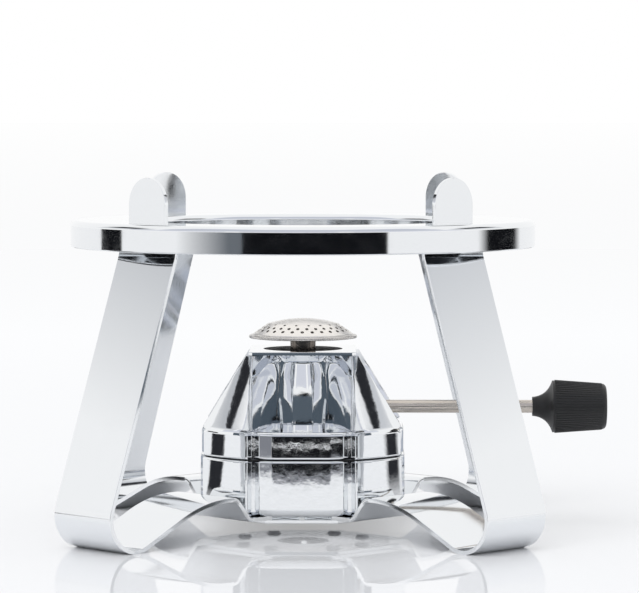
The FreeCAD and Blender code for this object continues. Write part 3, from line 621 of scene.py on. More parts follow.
def coil_of_wire():
    """A round wire wound into a coil of even turns."""
    tree = bpy.data.node_groups.new("coil_of_wire", "GeometryNodeTree")
    given = tree_inputs(tree, {"Piece": "NodeSocketGeometry", "Turns": "NodeSocketFloat",
                               "Radius": "NodeSocketFloat", "Height": "NodeSocketFloat",
                               "Wire": "NodeSocketFloat", "Place": "NodeSocketVector",
                               "Finish": "NodeSocketMaterial"})
    path = add_node(tree, "GeometryNodeCurveSpiral", None, {"Resolution": 32},
                    {"Rotations": given["Turns"], "Start Radius": given["Radius"],
                     "End Radius": given["Radius"], "Height": given["Height"]})
    section = add_node(tree, "GeometryNodeCurvePrimitiveCircle", None, {"Resolution": 10},
                       {"Radius": given["Wire"]})
    wire = add_node(tree, "GeometryNodeCurveToMesh", None, {"Fill Caps": True},
                    {"Curve": path.outputs["Curve"], "Profile Curve": section.outputs["Curve"]})
    moved = add_node(tree, "GeometryNodeTransform",
                     links={"Geometry": wire.outputs["Mesh"], "Translation": given["Place"]})
    whole = add_node(tree, "GeometryNodeRealizeInstances", links={"Geometry": moved.outputs["Geometry"]})
    return end_tree(tree, whole.outputs["Geometry"], given["Finish"])


TREES = {}


def run_tree(thing, tree, finish, **inputs):
    """Runs a geometry node tree on a piece and keeps the result as its mesh."""
    group = TREES[tree]
    modifier = thing.modifiers.new(tree, "NODES")
    modifier.node_group = group
    values = {"Finish": FINISHES[finish], **inputs}
    for socket in group.interface.items_tree:
        if socket.in_out == "INPUT" and socket.name in values:
            modifier[socket.identifier] = values[socket.name]
    return evaluated(thing)


def drilled(thing, drill, finish, number, first=0.0, axis=AXIS_Z):
    """Drills a ring of holes and removes the drill."""
    run_tree(thing, "ring_of_holes", finish, Drill=drill, Count=number, First=first, Axis=tuple(axis))
    bpy.data.objects.remove(drill)
    return thing


def drill_at(place, along, radius, reach, sides=14):
    """A drill through a place, along a direction."""
    form = bmesh.new()
    bmesh.ops.create_cone(form, cap_ends=True, segments=sides, radius1=radius, radius2=radius,
                          depth=2 * reach)
    turn = Vector(along).to_track_quat("Z", "Y").to_matrix().to_4x4()
    bmesh.ops.transform(form, matrix=Matrix.Translation(place) @ turn, verts=form.verts)
    return to_object("drill", form)


# Pieces


class StageOperator(bpy.types.Operator):
    """Lay the pale floor, the soft light, the dark cards that the plating mirrors, and the camera"""
    bl_idname = "burner.stage"
    bl_label = "Stage"

    def execute(self, context):
        make_floor()
        make_light(context.scene)
        make_cards()
        make_camera(context.scene)
        return {"FINISHED"}


def make_floor():
    """The pale floor, whose faint sharp reflection leaves the cards out."""
    form = bmesh.new()
    bmesh.ops.create_grid(form, x_segments=1, y_segments=1, size=FLOOR_REACH)
    floor = to_object("floor", form)
    material, _, shader, _ = new_finish("pale_floor", linear("#FBFBFC"), 0.0, 0.0)
    shader.inputs["Specular IOR Level"].default_value = FLOOR_GLOSS
    floor.data.materials.append(material)


def make_light(scene):
    """A white surround that the camera and the plating see, and a softer one that lights the object."""
    world = bpy.data.worlds.new("studio")
    scene.world = world
    world.use_nodes = True
    tree = world.node_tree
    tree.nodes.clear()
    rays = add_node(tree, "ShaderNodeLightPath").outputs
    seen = add_node(tree, "ShaderNodeMath", {"operation": "MAXIMUM"}, None,
                    {0: rays["Is Camera Ray"], 1: rays["Is Glossy Ray"]})
    seen = add_node(tree, "ShaderNodeMath", {"operation": "MAXIMUM"}, None,
                    {0: seen.outputs["Value"], 1: rays["Is Transmission Ray"]})
    surround = add_node(tree, "ShaderNodeBackground", None, {"Color": (1, 1, 1, 1), "Strength": 1.0})
    light = add_node(tree, "ShaderNodeBackground", None,
                     {"Color": linear("#F6F8FB"), "Strength": WORLD_LIGHT})
    both = add_node(tree, "ShaderNodeMixShader", None, None,
                    {0: seen.outputs["Value"], 1: light.outputs["Background"],
                     2: surround.outputs["Background"]})
    add_node(tree, "ShaderNodeOutputWorld", links={"Surface": both.outputs["Shader"]})
    lamp = bpy.data.lights.new("soft_key", "SUN")
    lamp.energy = KEY_LIGHT
    lamp.angle = math.radians(KEY_SPREAD)
    key = bpy.data.objects.new("soft_key", lamp)
    key.rotation_euler = [math.radians(angle) for angle in KEY_TILT]
    key.visible_glossy = False
    scene.collection.objects.link(key)


def around(azimuth, distance, height):
    """A place by its direction round the object, from the front towards the knob."""
    turn = math.radians(azimuth)
    return (distance * math.sin(turn), -distance * math.cos(turn), height)


def four(first, last, low, high):
    """A card's corners in order, between two directions and two reaches."""
    return (first, low), (last, low), (last, high), (first, high)


def sky(first, last, low, high, distance=1.6, eye=0.05):
    """Corners of a card up in the surround, between two directions and two elevations."""
    corners = []
    for azimuth, elevation in four(first, last, low, high):
        turn = math.radians(elevation)
        corners.append(around(azimuth, distance * math.cos(turn), eye + distance * math.sin(turn)))
    return corners


def upright(first, last, distance, low, high):
    """Corners of an upright card between two directions at a distance, and between two heights."""
    return [around(azimuth, distance, height) for azimuth, height in four(first, last, low, high)]


def wedge(first, last, near, far):
    """Corners of a card on the floor between two directions and two distances."""
    return [around(azimuth, distance, LIFT) for azimuth, distance in four(first, last, near, far)]


def lying(first, last, near, far):
    """Corners of a card on the floor between two directions, with straight edges across the front."""
    left, right = math.tan(math.radians(first)), math.tan(math.radians(last))
    return [(reach * side, -reach, LIFT) for side, reach in four(left, right, near, far)]


# Each card's name, tone, soft share of its width and of its height, and corners
CARDS = [
    ("front_near", GREY, (CRISP, 0.2), lying(-29, 42, 0.20, 0.25)),
    ("front_dark", BLACK, (CRISP, 0.06), lying(-29, 42, 0.232, 0.34)),
    ("front_far", BLACK, (CRISP, 0.04), lying(-29, 42, 0.355, 0.62)),
    ("front_left", GREY, (0.05, 0.05), lying(-48, -28, 0.20, 0.62)),
    ("front_wall", BLACK, (0.02, CRISP), upright(-30.5, 40.5, 0.68, -0.02, 0.13)),
    ("front_fade", SMOKE, (0.45, CRISP), upright(-60, 0, 0.75, -0.02, 0.13)),
    ("left_wall", BLACK, (0.05, CRISP), upright(-114, -96, 1.6, -0.02, 0.12)),
    ("right_wall", BLACK, (0.2, CRISP), upright(94, 133, 1.6, -0.02, 0.12)),
    ("left_leg_shade", SHADE, (0.1, 0.45), upright(-115, -75, 0.5, 0.18, 0.42)),
    ("right_leg_shade", SOFT_SHADE, (0.1, 0.45), upright(75, 115, 0.5, 0.18, 0.42)),
    ("left_strip", DARK, (0.12, 0.12), wedge(-104, -82, 0.11, 0.55)),
    ("right_strip", DARK, (0.25, 0.25), wedge(87, 112, 0.11, 0.55)),
    ("back_near", GREY, (0.05, 0.2), wedge(150, 212, 0.13, 0.20)),
    ("back_dark", BLACK, (CRISP, 0.06), wedge(152, 210, 0.19, 0.60)),
    ("left_streak", DARK, (0.1, 0.06), upright(-112, -85, 0.45, 0.285, 0.42)),
    ("right_streak", DARK, (0.1, 0.06), upright(85, 112, 0.45, 0.285, 0.42)),
    ("left_band", PALE, (0.04, 0.04), sky(-92, -36, 10, 21)),
    ("front_band", PALE, (0.04, 0.04), sky(-30, 18, 10, 21)),
    ("right_band", PALE, (0.04, 0.04), sky(24, 86, 10, 21)),
]
CARDS += [(name, LILAC, (MEETING, 0.1), sky(first, first + 50, 20, 60))
          for name, first in (("front_sky", -25), ("left_sky", -75), ("right_sky", 25))]
CARDS += [("low_band", SLATE, (MEETING, 0.05), upright(first, first + 20, 0.25, 0.022, 0.078))
          for first in range(-70, 70, 20)]


def soft_sheet(name, corners, soft):
    """A card whose tone fades to nothing over a share of its width and of its height at each edge."""
    form = bmesh.new()
    tone = form.verts.layers.float.new("tone")
    first, second, third, fourth = [Vector(corner) for corner in corners]
    columns, lines = [(0.0, share, 1.0 - share, 1.0) for share in soft]
    inside = (1, 2)
    rows = []
    for row_index, up in enumerate(lines):
        row = []
        for index, across in enumerate(columns):
            point = form.verts.new(first.lerp(second, across).lerp(fourth.lerp(third, across), up))
            point[tone] = float(row_index in inside and index in inside)
            row.append(point)
        rows.append(row)
    for low, high in zip(rows, rows[1:]):
        for index in range(len(columns) - 1):
            form.faces.new([low[index], low[index + 1], high[index + 1], high[index]])
    return to_object(name, form)


def make_cards():
    """Dark and tinted cards round the object, seen in its plating and not in the floor's sharp reflection."""
    for name, hex_colour, soft, corners in CARDS:
        card = soft_sheet(name, corners, soft)
        material, tree, shader, place = new_finish(name, linear("#000000"), 0.0, 1.0)
        shader.inputs["Specular IOR Level"].default_value = 0.0
        shader.inputs["Emission Color"].default_value = linear(hex_colour)
        shader.inputs["Emission Strength"].default_value = 1.0
        tone = add_node(tree, "ShaderNodeAttribute", {"attribute_name": "tone"})
        rays = add_node(tree, "ShaderNodeLightPath")
        seen = add_node(tree, "ShaderNodeMath", {"operation": "SUBTRACT", "use_clamp": True}, None,
                        {0: tone.outputs["Fac"], 1: rays.outputs["Is Singular Ray"]})
        tree.links.new(seen.outputs["Value"], shader.inputs["Alpha"])
        card.data.materials.append(material)
        card.visible_camera = False
        card.visible_diffuse = False
        card.visible_shadow = False


def make_camera(scene):
    """The camera at the photograph's distance and height, aimed at the object's middle."""
    lens = bpy.data.cameras.new("camera")
    lens.sensor_width = SENSOR_WIDTH
    lens.lens = FOCAL_PIXELS / PHOTO_WIDTH * SENSOR_WIDTH
    lens.clip_end = 100
    camera = bpy.data.objects.new("camera", lens)
    place = around(CAMERA_AZIMUTH, CAMERA_DISTANCE, CAMERA_HEIGHT)
    camera.location = (TARGET.x + place[0], place[1], place[2])
    camera.rotation_mode = "QUATERNION"
    camera.rotation_quaternion = (TARGET - camera.location).to_track_quat("-Z", "Y")
    scene.collection.objects.link(camera)
    scene.camera = camera


class FinishesOperator(bpy.types.Operator):
    """Make the finishes and the geometry node trees that the pieces share"""
    bl_idname = "burner.finishes"
    bl_label = "Finishes"

    def execute(self, context):
        FINISHES.update(make_finishes(context.scene.finish_colours))
        for maker in (ring_of_copies, ring_of_holes, coil_of_wire):
            TREES[maker.__name__] = maker()
        return {"FINISHED"}


class SupportRingOperator(bpy.types.Operator):
    """Press the support ring: a flat ring with a down-turned rim, a lip round the hole and four slots"""
    bl_idname = "burner.support_ring"
    bl_label = "Support ring"

    def execute(self, context):
        sizes = context.scene.stand_sizes
        foot = sizes.ring_top - sizes.rim_height
        lip = sizes.ring_top - sizes.lip_height
        under = sizes.ring_top - sizes.ring_sheet
        inside = sizes.ring_radius - sizes.ring_sheet
        bore = sizes.hole_radius + sizes.ring_sheet
        bend = sizes.ring_edge - sizes.ring_sheet
        corners = [(sizes.hole_radius, lip), (sizes.hole_radius, sizes.ring_top),
                   (sizes.ring_radius, sizes.ring_top), (sizes.ring_radius, foot),
                   (inside, foot), (inside, under), (bore, under), (bore, lip)]
        edges = [sizes.ring_edge, sizes.ring_edge, RING_CUT_ROUND, RING_CUT_ROUND, bend, bend]
        ring = lathe("support_ring_finished", rounded(corners, edges), turns=288)
        deep = sizes.strip_sheet / 2 + SLOT_GAP
        wide = sizes.tab_width / 2 + SLOT_GAP
        slots = []
        for angle in LEG_ANGLES.values():
            slot = block("slot", (sizes.tab_place - deep, -wide, foot + MM),
                         (sizes.tab_place + deep, wide, sizes.ring_top + MM))
            slots.append(turn_mesh(slot, angle))
        smoothed(cut(ring, slots))
        hand_over(ring, "sheet", "stand", "chrome_plate", "support_ring")
        return {"FINISHED"}


class LegsOperator(bpy.types.Operator):
    """Bend the four legs: each one strip, from the tab through the ring to the step under the burner"""
    bl_idname = "burner.legs"
    bl_label = "Legs"

    def execute(self, context):
        sizes = context.scene.stand_sizes
        for node, angle in LEG_ANGLES.items():
            strip = turn_mesh(bent_strip(node + "_finished", sizes), angle)
            hand_over(strip, "sheet", "stand", "chrome_plate", node)
        return {"FINISHED"}


def bent_strip(name, sizes):
    """One leg towards +X: a sheet along its bent path, thickened, with its cut edges rounded."""
    half, half_tab = sizes.strip_width / 2, sizes.tab_width / 2
    shoulder = sizes.ring_top - sizes.ring_sheet
    dome = sizes.tab_top - half_tab
    corners = [(STRIP_START, CRADLE_HEIGHT), (STEP_FOOT, CRADLE_HEIGHT), (STEP_TOP, CREST_HEIGHT),
               (ARM_TOP, CREST_HEIGHT), FOOT_CORNER, (sizes.tab_place, KNEE_HEIGHT),
               (sizes.tab_place, shoulder)]
    path = rounded(corners, STRIP_BENDS, step=3.0)
    form = bmesh.new()
    columns = (-half, -half_tab, 0.0, half_tab, half)
    rows = [[form.verts.new((along.x, side, along.y)) for side in columns] for along in path]
    tab = [rows[-1][1:4]]
    for index in range(TAB_PIECES):
        angle = math.pi / 2 * index / TAB_PIECES
        height, reach = dome + half_tab * math.sin(angle), half_tab * math.cos(angle)
        tab.append([form.verts.new((sizes.tab_place, side, height)) for side in (-reach, 0.0, reach)])
    for grid in (rows, tab):
        for low, high in zip(grid, grid[1:]):
            for index in range(len(low) - 1):
                form.faces.new([low[index], low[index + 1], high[index + 1], high[index]])
    top = form.verts.new((sizes.tab_place, 0.0, sizes.tab_top))
    last = tab[-1]
    form.faces.new([last[0], last[1], top])
    form.faces.new([last[1], last[2], top])
    bmesh.ops.recalc_face_normals(form, faces=form.faces)
    strip = to_object(name, form)
    thick = strip.modifiers.new("sheet", "SOLIDIFY")
    thick.thickness = sizes.strip_sheet
    thick.offset = 0
    thick.use_even_offset = True
    evaluated(strip)
    smoothed(strip, sharp=50, round_edges=STRIP_ROUND)
    for point in strip.data.vertices:
        point.co.z = max(point.co.z, 0.0)
    return strip


class CradleOperator(bpy.types.Operator):
    """Make the plate that joins the legs under the burner, with its rivets"""
    bl_idname = "burner.cradle"
    bl_label = "Cradle plate"

    def execute(self, context):
        plate = smoothed(dressed_copy("base_plate"), round_edges=PLATE_ROUND)
        hand_over(plate, "sheet", "stand", "chrome_plate", "base_plate")
        refinish("sheet", "base_rivets")
        return {"FINISHED"}


class ShellsOperator(bpy.types.Operator):
    """Cast the burner's two chromed shells, with the gasket in their seam and the screws that hold them"""
    bl_idname = "burner.shells"
    bl_label = "Shells"

    def execute(self, context):
        sizes = context.scene.shell_sizes
        make_lower_shell(sizes)
        make_upper_shell(sizes, context.scene.control_sizes)
        refinish("rubber", "seam_gasket")
        refinish("zinc", "shell_screws")
        return {"FINISHED"}


def panel_eighth(sizes, half, radius):
    """Plan from a panel's middle to the next diagonal in three runs: panel, flute and round corner."""
    panel = sizes.panel_half
    rim = panel + sizes.flute_width
    edge = Vector((panel, -half + sizes.margin_drop))
    first = -math.degrees(math.acos(rim / radius))
    corner = arc((0, 0), radius, first, -45, CORNER_PIECES)
    margin = rounded([(0, -half), (panel - sizes.margin, -half), edge], [MARGIN_BEND])
    flute = rounded([edge - Vector((sizes.margin, sizes.margin_drop)) / 2, edge,
                     (panel + sizes.flute_width / 2, -half + sizes.flute_depth), corner[0], corner[2]],
                    FLUTE_BENDS)
    middle = [margin[0].lerp(margin[1], share / PANEL_PIECES) for share in range(PANEL_PIECES)]
    return middle + margin[1:-1], flute[1:-1], corner[2:]


def round_eighth(radius, number):
    """Evenly spaced points of a circle from a side's middle to the next diagonal."""
    return arc((0, 0), radius, -90, -45, number - 1)


def plain_eighth(points, half, radius):
    """The inner plan behind each point: a circle with four flat sides."""
    inner = []
    for point in points:
        along = point.normalized()
        inner.append(along * min(radius, half / max(abs(along.x), abs(along.y))))
    return inner


def drawn_in(points, inset):
    """Points moved towards the axis."""
    return [point * (1 - inset / point.length) for point in points]


def at_height(points, height):
    """Points of a plan raised to a height."""
    return [Vector((point.x, point.y, height)) for point in points]


def edge_round(radius, pieces):
    """Inset and rise along a quarter round, from a face's edge to the wall beside it."""
    angles = [math.pi / 2 * index / pieces for index in range(pieces + 1)]
    return [(radius * (1 - math.sin(a)), radius * (1 - math.cos(a))) for a in angles]


def edge_rings(plan, radius, pieces, face, way):
    """Rings round a rounded edge, upwards: from a face below it with a way of 1, to one above it with -1."""
    return [at_height(drawn_in(plan, inset), face + way * rise)
            for inset, rise in edge_round(radius, pieces)[::way]]


def whole_ring(eighth):
    """All round the axis from an eighth: mirrored in the diagonal, then turned to each side."""
    quarter = eighth + [Vector((-p.y, -p.x, p.z)) for p in eighth[-2:0:-1]]
    return [Matrix.Rotation(math.radians(angle), 3, "Z") @ point for angle in SIDES for point in quarter]


def loft(name, eighths):
    """A closed skin through rings that are given by their eighths, joined last to first."""
    form = bmesh.new()
    rings = [[form.verts.new(point) for point in whole_ring(eighth)] for eighth in eighths]
    for low, high in zip(rings, rings[1:] + rings[:1]):
        for index in range(len(low)):
            after = (index + 1) % len(low)
            form.faces.new([low[index], low[after], high[after], high[index]])
    bmesh.ops.recalc_face_normals(form, faces=form.faces)
    return to_object(name, form)


def make_lower_shell(sizes):
    """The cup: a flat floor with a filling hole, a round bottom edge and straight sides."""
    plan = sum(panel_eighth(sizes, sizes.lower_half, sizes.lower_radius), [])
    inner = plain_eighth(plan, sizes.lower_half - sizes.panel_wall, sizes.lower_radius - sizes.wall)
    hole = round_eighth(FILLING_RADIUS, len(plan))
    floor = sizes.bottom + sizes.wall
    rings = [at_height(hole, sizes.bottom)]
    rings += edge_rings(plan, sizes.bottom_round, BOTTOM_PIECES, sizes.bottom, 1)
    rings += edge_rings(plan, sizes.seam_round, EDGE_PIECES, sizes.seam_low, -1)
    rings += [at_height(inner, sizes.seam_low), at_height(inner, floor), at_height(hole, floor)]
    shell = loft("lower_shell_finished", rings)
    drills = []
    for angle in LEG_ANGLES.values():
        drill = drill_at((SCREW_PLACE, 0, sizes.bottom), AXIS_Z, SCREW_RADIUS, SCREW_REACH, sides=32)
        drills.append(turn_mesh(drill, angle))
    smoothed(cut(shell, drills))
    hand_over(shell, "casting", "burner", "chrome_plate", "lower_shell")


def between(table, height):
    """Straight interpolation in a table of (height, value) pairs."""
    for (low, first), (high, last) in zip(table, table[1:]):
        if height <= high:
            return first + (last - first) * max(0.0, (height - low) / (high - low))
    return table[-1][1]


def eased(first, last, leaving, arriving, share):
    """A point between two others on a smooth curve that leaves and arrives in given directions."""
    square, cube = share ** 2, share ** 3
    return (first * (2 * cube - 3 * square + 1) + leaving * (cube - 2 * square + share)
            + last * (3 * square - 2 * cube) + arriving * (cube - square))


def lobe_radius(height):
    """Radius of the convex lobe at a window's back: bulging below, waisted above, flared under the top."""
    points = [Vector(pair) * MM for pair in LOBE_PROFILE]
    table = []
    for index, (first, last) in enumerate(zip(points, points[1:])):
        leaving = (last - points[max(index - 1, 0)]) / 2
        arriving = (points[min(index + 2, len(points) - 1)] - first) / 2
        for step in range(LOBE_STEPS):
            table.append(tuple(eased(first, last, leaving, arriving, step / LOBE_STEPS)))
    table.append(tuple(points[-1]))
    return between(table, height)


def ridge_radius(sizes, height):
    """Radius of the round corners: upright below the shoulder, leaning in above it, with a soft bend."""
    lean = (sizes.upper_radius - sizes.top_radius) / (sizes.top - sizes.shoulder)
    past = height - sizes.shoulder
    if past <= -RIDGE_BEND:
        return sizes.upper_radius
    if past >= RIDGE_BEND:
        return sizes.upper_radius - lean * past
    return sizes.upper_radius - lean * (past + RIDGE_BEND) ** 2 / (4 * RIDGE_BEND)


def direction(point):
    """A point's direction from the axis, in degrees."""
    return math.degrees(math.atan2(point.y, point.x))


def shares(number):
    """Even steps from nought to one, without the start."""
    return [(index + 1) / number for index in range(number)]


def window_eighth(sizes, height, counts):
    """An eighth at a height inside the windows: lobe, side wall with a rounded mouth, round corner."""
    panel, flute, corner = counts
    lobe = lobe_radius(height)
    behind = sizes.window_back - sizes.lobe_place
    reach = math.degrees(math.acos(min(1.0, behind / lobe)))
    bulge = arc((0, -sizes.lobe_place), lobe, -90, -90 + reach, panel - 1)
    foot = Vector((between(WINDOW_BACKS, height / MM) * MM, -sizes.window_back))
    far = Vector((between(WINDOW_MOUTHS, height / MM) * MM, -WINDOW_REACH))
    along = (far - foot).normalized()
    radius = ridge_radius(sizes, height)
    middle = foot.dot(along)
    mouth = foot + along * (-middle + math.sqrt(middle ** 2 - foot.length_squared + radius ** 2))
    beside = arc((0, 0), radius, direction(mouth), -45, RIDGE_PIECES)[1]
    bend = min(MOUTH_ROUND, (beside - mouth).length)
    edge = rounded([foot, mouth, beside], [bend], pieces=MOUTH_PIECES)[1:-1]
    start = bulge[-1]
    turn = foot + (foot - far).normalized() * (COVE_SHARE * (foot - start).length)
    out = foot.lerp(edge[0], COVE_REACH)
    cove = [start.lerp(turn, share).lerp(turn.lerp(out, share), share) for share in shares(COVE_PIECES)]
    runs = flute - len(edge) - COVE_PIECES
    wall = [out.lerp(edge[0], share) for share in shares(runs + 1)[:-1]]
    ridge = arc((0, 0), radius, direction(edge[-1]), -45, corner)[1:]
    return at_height(bulge + cove + wall + edge + ridge, height)


def top_eighth(sizes, counts):
    """Plan of the top: flat sides and round corners."""
    panel, flute, corner = counts
    half = math.sqrt(sizes.top_radius ** 2 - sizes.top_half ** 2)
    flat = [Vector((half * index / panel, -sizes.top_half)) for index in range(panel)]
    first = -math.degrees(math.acos(half / sizes.top_radius))
    return flat + arc((0, 0), sizes.top_radius, first, -45, flute + corner - 1)


def make_upper_shell(sizes, control):
    """The crown: panels, then ridges that lean in beside the windows, and a round top over the lobes."""
    panel, flute, corner = panel_eighth(sizes, sizes.upper_half, sizes.upper_radius)
    counts = len(panel), len(flute), len(corner)
    plan = panel + flute + corner
    opening = len(panel) + len(flute)
    inner = plain_eighth(plan, sizes.upper_half - sizes.panel_wall, sizes.upper_radius - sizes.wall)
    rings = [at_height(inner, sizes.seam_high)]
    rings += edge_rings(plan, sizes.seam_round, EDGE_PIECES, sizes.seam_high, 1)
    for inset, rise in edge_round(sizes.shoulder_round, SHOULDER_PIECES)[::-1]:
        height = sizes.shoulder - rise
        ridge = [point * (ridge_radius(sizes, height) / sizes.upper_radius) for point in corner]
        rings.append(at_height(drawn_in(plan, inset)[:opening] + ridge, height))
    crown = rings[-1][:opening]
    foot = window_eighth(sizes, sizes.window_foot, counts)
    ledge_rise = sizes.window_foot - sizes.shoulder
    for share in LEDGE_SHARES:
        ledge = [first.lerp(last, share) for first, last in zip(crown, foot)]
        ridge = window_eighth(sizes, sizes.shoulder + ledge_rise * share, counts)[opening:]
        rings.append(at_height(ledge, sizes.shoulder + ledge_rise * share * share) + ridge)
    for index in range(WINDOW_ROWS + 1):
        share = 1 - (1 - index / WINDOW_ROWS) ** ROW_CROWDING
        height = sizes.window_foot + (sizes.window_top - sizes.window_foot) * share
        rings.append(window_eighth(sizes, height, counts))
    top = top_eighth(sizes, counts)
    rings.append(at_height(top, sizes.window_top + TOP_ROUND))
    rings += edge_rings(top, TOP_ROUND, EDGE_PIECES, sizes.top, -1)
    for radius, height in SHELL_BORES:
        rings.append(at_height(round_eighth(radius * MM, len(plan)), height * MM))
    roof = sizes.shoulder - sizes.wall
    rings += [at_height(rings[-1], roof), at_height(inner, roof)]
    shell = loft("upper_shell_finished", rings)
    drills = []
    for (place, radius, reach), sides in ((GLAND_SEAT, 48), (GLAND_BORE, 32)):
        drills.append(drill_at((place, 0, control.rod_height), AXIS_X, radius, reach, sides))
    smoothed(cut(shell, drills), sharp=34)
    hand_over(shell, "casting", "burner", "chrome_plate", "upper_shell")


class HeadOperator(bpy.types.Operator):
    """Turn the burner's head: the dark disc, the stem, the rolled pan, the perforated dome and the gauze"""
    bl_idname = "burner.head"
    bl_label = "Burner head"

    def execute(self, context):
        sizes = context.scene.head_sizes
        make_cap(sizes)
        make_pan(sizes)
        refinish("nickel", "mixing_tube")
        refinish("oxide", "top_plate")
        refinish("turned", "flame_gauze")
        return {"FINISHED"}


def make_cap(sizes):
    """The dome, drilled with two rows of holes in its side and one higher up."""
    low = sizes.flange_height + sizes.flange_roll
    rise = sizes.dome_top - SLOPE_TOP
    crown = (SLOPE_RADIUS ** 2 + rise ** 2) / (2 * rise)
    reach = math.degrees(math.asin(SLOPE_RADIUS / crown))

    def wall(inset):
        side = sizes.dome_radius - inset
        path = rounded([(side, low), (side, sizes.dome_foot - inset / 2), (SLOPE_RADIUS, SLOPE_TOP - inset)],
                       [DOME_BEND], step=10)
        centre = (0.0, sizes.dome_top - inset - crown)
        return path[:-1] + arc(centre, crown, 90 - reach, 90, 14)

    outline = wall(0.0) + wall(sizes.dome_sheet)[::-1]
    cap = lathe("burner_cap_finished", outline, turns=168)
    slope = (SLOPE_TOP - sizes.dome_foot) / (sizes.dome_radius - SLOPE_RADIUS)
    along = Vector((slope, 0, 1)).normalized()
    rows = ((LOW_ROW, sizes.low_holes), (MIDDLE_ROW, sizes.low_holes), (HIGH_ROW, sizes.high_holes))
    for (place, first, radius), number in rows:
        height = min(sizes.dome_foot + (sizes.dome_radius - place) * slope, SLOPE_TOP)
        drill = drill_at((place, 0, height), along, radius, 2 * sizes.dome_sheet)
        drilled(cap, drill, "turned", number, first)
    smoothed(cap, sharp=40)
    hand_over(cap, "turned", "burner", "brushed_steel", "burner_cap")


def make_pan(sizes):
    """The pan under the dome, with its rolled flange."""
    roll = sizes.flange_radius - sizes.flange_roll
    low = sizes.flange_height - sizes.flange_roll
    high = sizes.flange_height + sizes.flange_roll
    inside = PAN_COLLAR - PAN_SHEET
    floor = low + PAN_SHEET
    edge = arc((roll, sizes.flange_height), sizes.flange_roll, -90, 90, 10)
    collar = ((PAN_COLLAR, high), (PAN_COLLAR, COLLAR_TOP), (inside, COLLAR_TOP), (inside, floor))
    pan = lathe("cap_pan_finished", [*edge, *collar, (PAN_BORE, floor), (PAN_BORE, low)])
    smoothed(pan, sharp=40)
    hand_over(pan, "rolled", "burner", "brushed_steel", "cap_pan")


class ControlOperator(bpy.types.Operator):
    """Make the control rod, its ribbed knob and the set screw that holds it"""
    bl_idname = "burner.control"
    bl_label = "Control"

    def execute(self, context):
        sizes = context.scene.control_sizes
        make_knob(sizes)
        refinish("drawn", "control_rod")
        refinish("zinc", "knob_set_screw")
        return {"FINISHED"}


def make_knob(sizes):
    """The knob: a neck that flares into a tapered grip, with ribs along the grip."""
    widest = sizes.shoulder_radius - RIB_RADIUS
    narrowest = sizes.end_radius - RIB_RADIUS
    neck = (sizes.knob_start, sizes.neck_radius)
    shoulder = (sizes.knob_shoulder, widest)
    pull = [2 * m - (n + s) / 2 for m, n, s in zip(FLARE_MIDDLE, neck, shoulder)]
    flare = []
    for index in range(FLARE_PIECES + 1):
        share = index / FLARE_PIECES
        along, radius = [(1 - share) ** 2 * n + 2 * share * (1 - share) * p + share ** 2 * s
                         for n, p, s in zip(neck, pull, shoulder)]
        flare.append((radius, along))
    grip = sizes.knob_shoulder + GRIP_INSET
    outer = rounded([(widest, grip), (narrowest, sizes.knob_end), (0.0, sizes.knob_end)], [KNOB_ROUND])
    inner = [(0.0, BORE_END), (KNOB_BORE, BORE_END), (KNOB_BORE, sizes.knob_start)]
    knob = lathe("control_knob_finished", inner + flare + outer, closed=False, axis="X",
                 height=sizes.rod_height, turns=120)
    smoothed(knob, sharp=35)
    start = Vector((grip, 0, widest))
    end = Vector((sizes.knob_end - KNOB_ROUND, 0, narrowest))
    ribs = drill_at((start + end) / 2, end - start, RIB_RADIUS, (end - start).length / 2, sides=12)
    run_tree(ribs, "ring_of_copies", "plastic", Count=sizes.rib_count, First=0.0, Axis=tuple(AXIS_X))
    ribs.data.transform(Matrix.Translation((0, 0, sizes.rod_height)))
    ribs.data.shade_smooth()
    ribs.data.set_sharp_from_angle(angle=math.radians(40))
    knob = joined("control_knob_finished", [knob, ribs])
    hand_over(knob, "plastic", "control", "black_plastic", "control_knob")


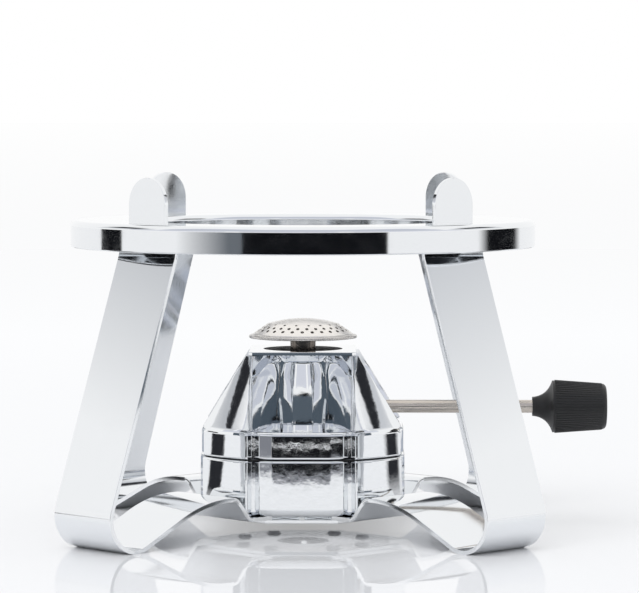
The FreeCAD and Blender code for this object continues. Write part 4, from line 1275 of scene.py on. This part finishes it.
class InsideOperator(bpy.types.Operator):
    """Finish the tank, the valve and the refill valve inside the shells"""
    bl_idname = "burner.inside"
    bl_label = "Inside"

    def execute(self, context):
        refinish("alloy", "tank_cup", "tank_lid")
        refinish("brass", "valve_body", "jet_nozzle", "gland_nut", "refill_valve_body", "refill_plunger")
        refinish("zinc", "valve_needle")
        refinish("rubber", "gland_packing", "refill_seal")
        make_refill_spring()
        return {"FINISHED"}


def make_refill_spring():
    """The coil over the filling valve's plunger."""
    low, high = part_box("refill_spring")
    tall = high.z - low.z
    coil = to_object("refill_spring_finished", bmesh.new())
    run_tree(coil, "coil_of_wire", "zinc", Turns=SPRING_TURNS, Radius=high.x - SPRING_WIRE, Wire=SPRING_WIRE,
             Height=tall - 2 * SPRING_WIRE, Place=(0.0, 0.0, low.z + SPRING_WIRE))
    coil.data.shade_smooth()
    hand_over(coil, "zinc", "burner", "spring_steel", "refill_spring")
    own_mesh(coil)


class BurnerPanel(bpy.types.Panel):
    """Lists the steps that build the burner"""
    bl_idname = "VIEW3D_PT_burner"
    bl_label = "Table-top burner"
    bl_space_type = "VIEW_3D"
    bl_region_type = "UI"
    bl_category = "Burner"

    def draw(self, context):
        for operator in OPERATORS:
            self.layout.operator(operator.bl_idname)
        for name, group in GROUPS.items():
            column = self.layout.column()
            column.label(text=group.__doc__)
            for prop in group.__annotations__:
                column.prop(getattr(context.scene, name), prop)


OPERATORS = (FinishesOperator, StageOperator, SupportRingOperator, LegsOperator, CradleOperator,
             ShellsOperator, HeadOperator, ControlOperator, InsideOperator)


def register():
    for group in GROUPS.values():
        bpy.utils.register_class(group)
    for name, group in GROUPS.items():
        setattr(bpy.types.Scene, name, PointerProperty(type=group))
    for made in (*OPERATORS, BurnerPanel):
        bpy.utils.register_class(made)


def unregister():
    for made in (BurnerPanel, *OPERATORS[::-1]):
        bpy.utils.unregister_class(made)
    for name, group in GROUPS.items():
        delattr(bpy.types.Scene, name)
        bpy.utils.unregister_class(group)


def main():
    register()
    bpy.context.scene.view_settings.view_transform = "Standard"
    for operator in OPERATORS:
        group, name = operator.bl_idname.split(".")
        getattr(getattr(bpy.ops, group), name)()


if __name__ == "__main__":
    main()
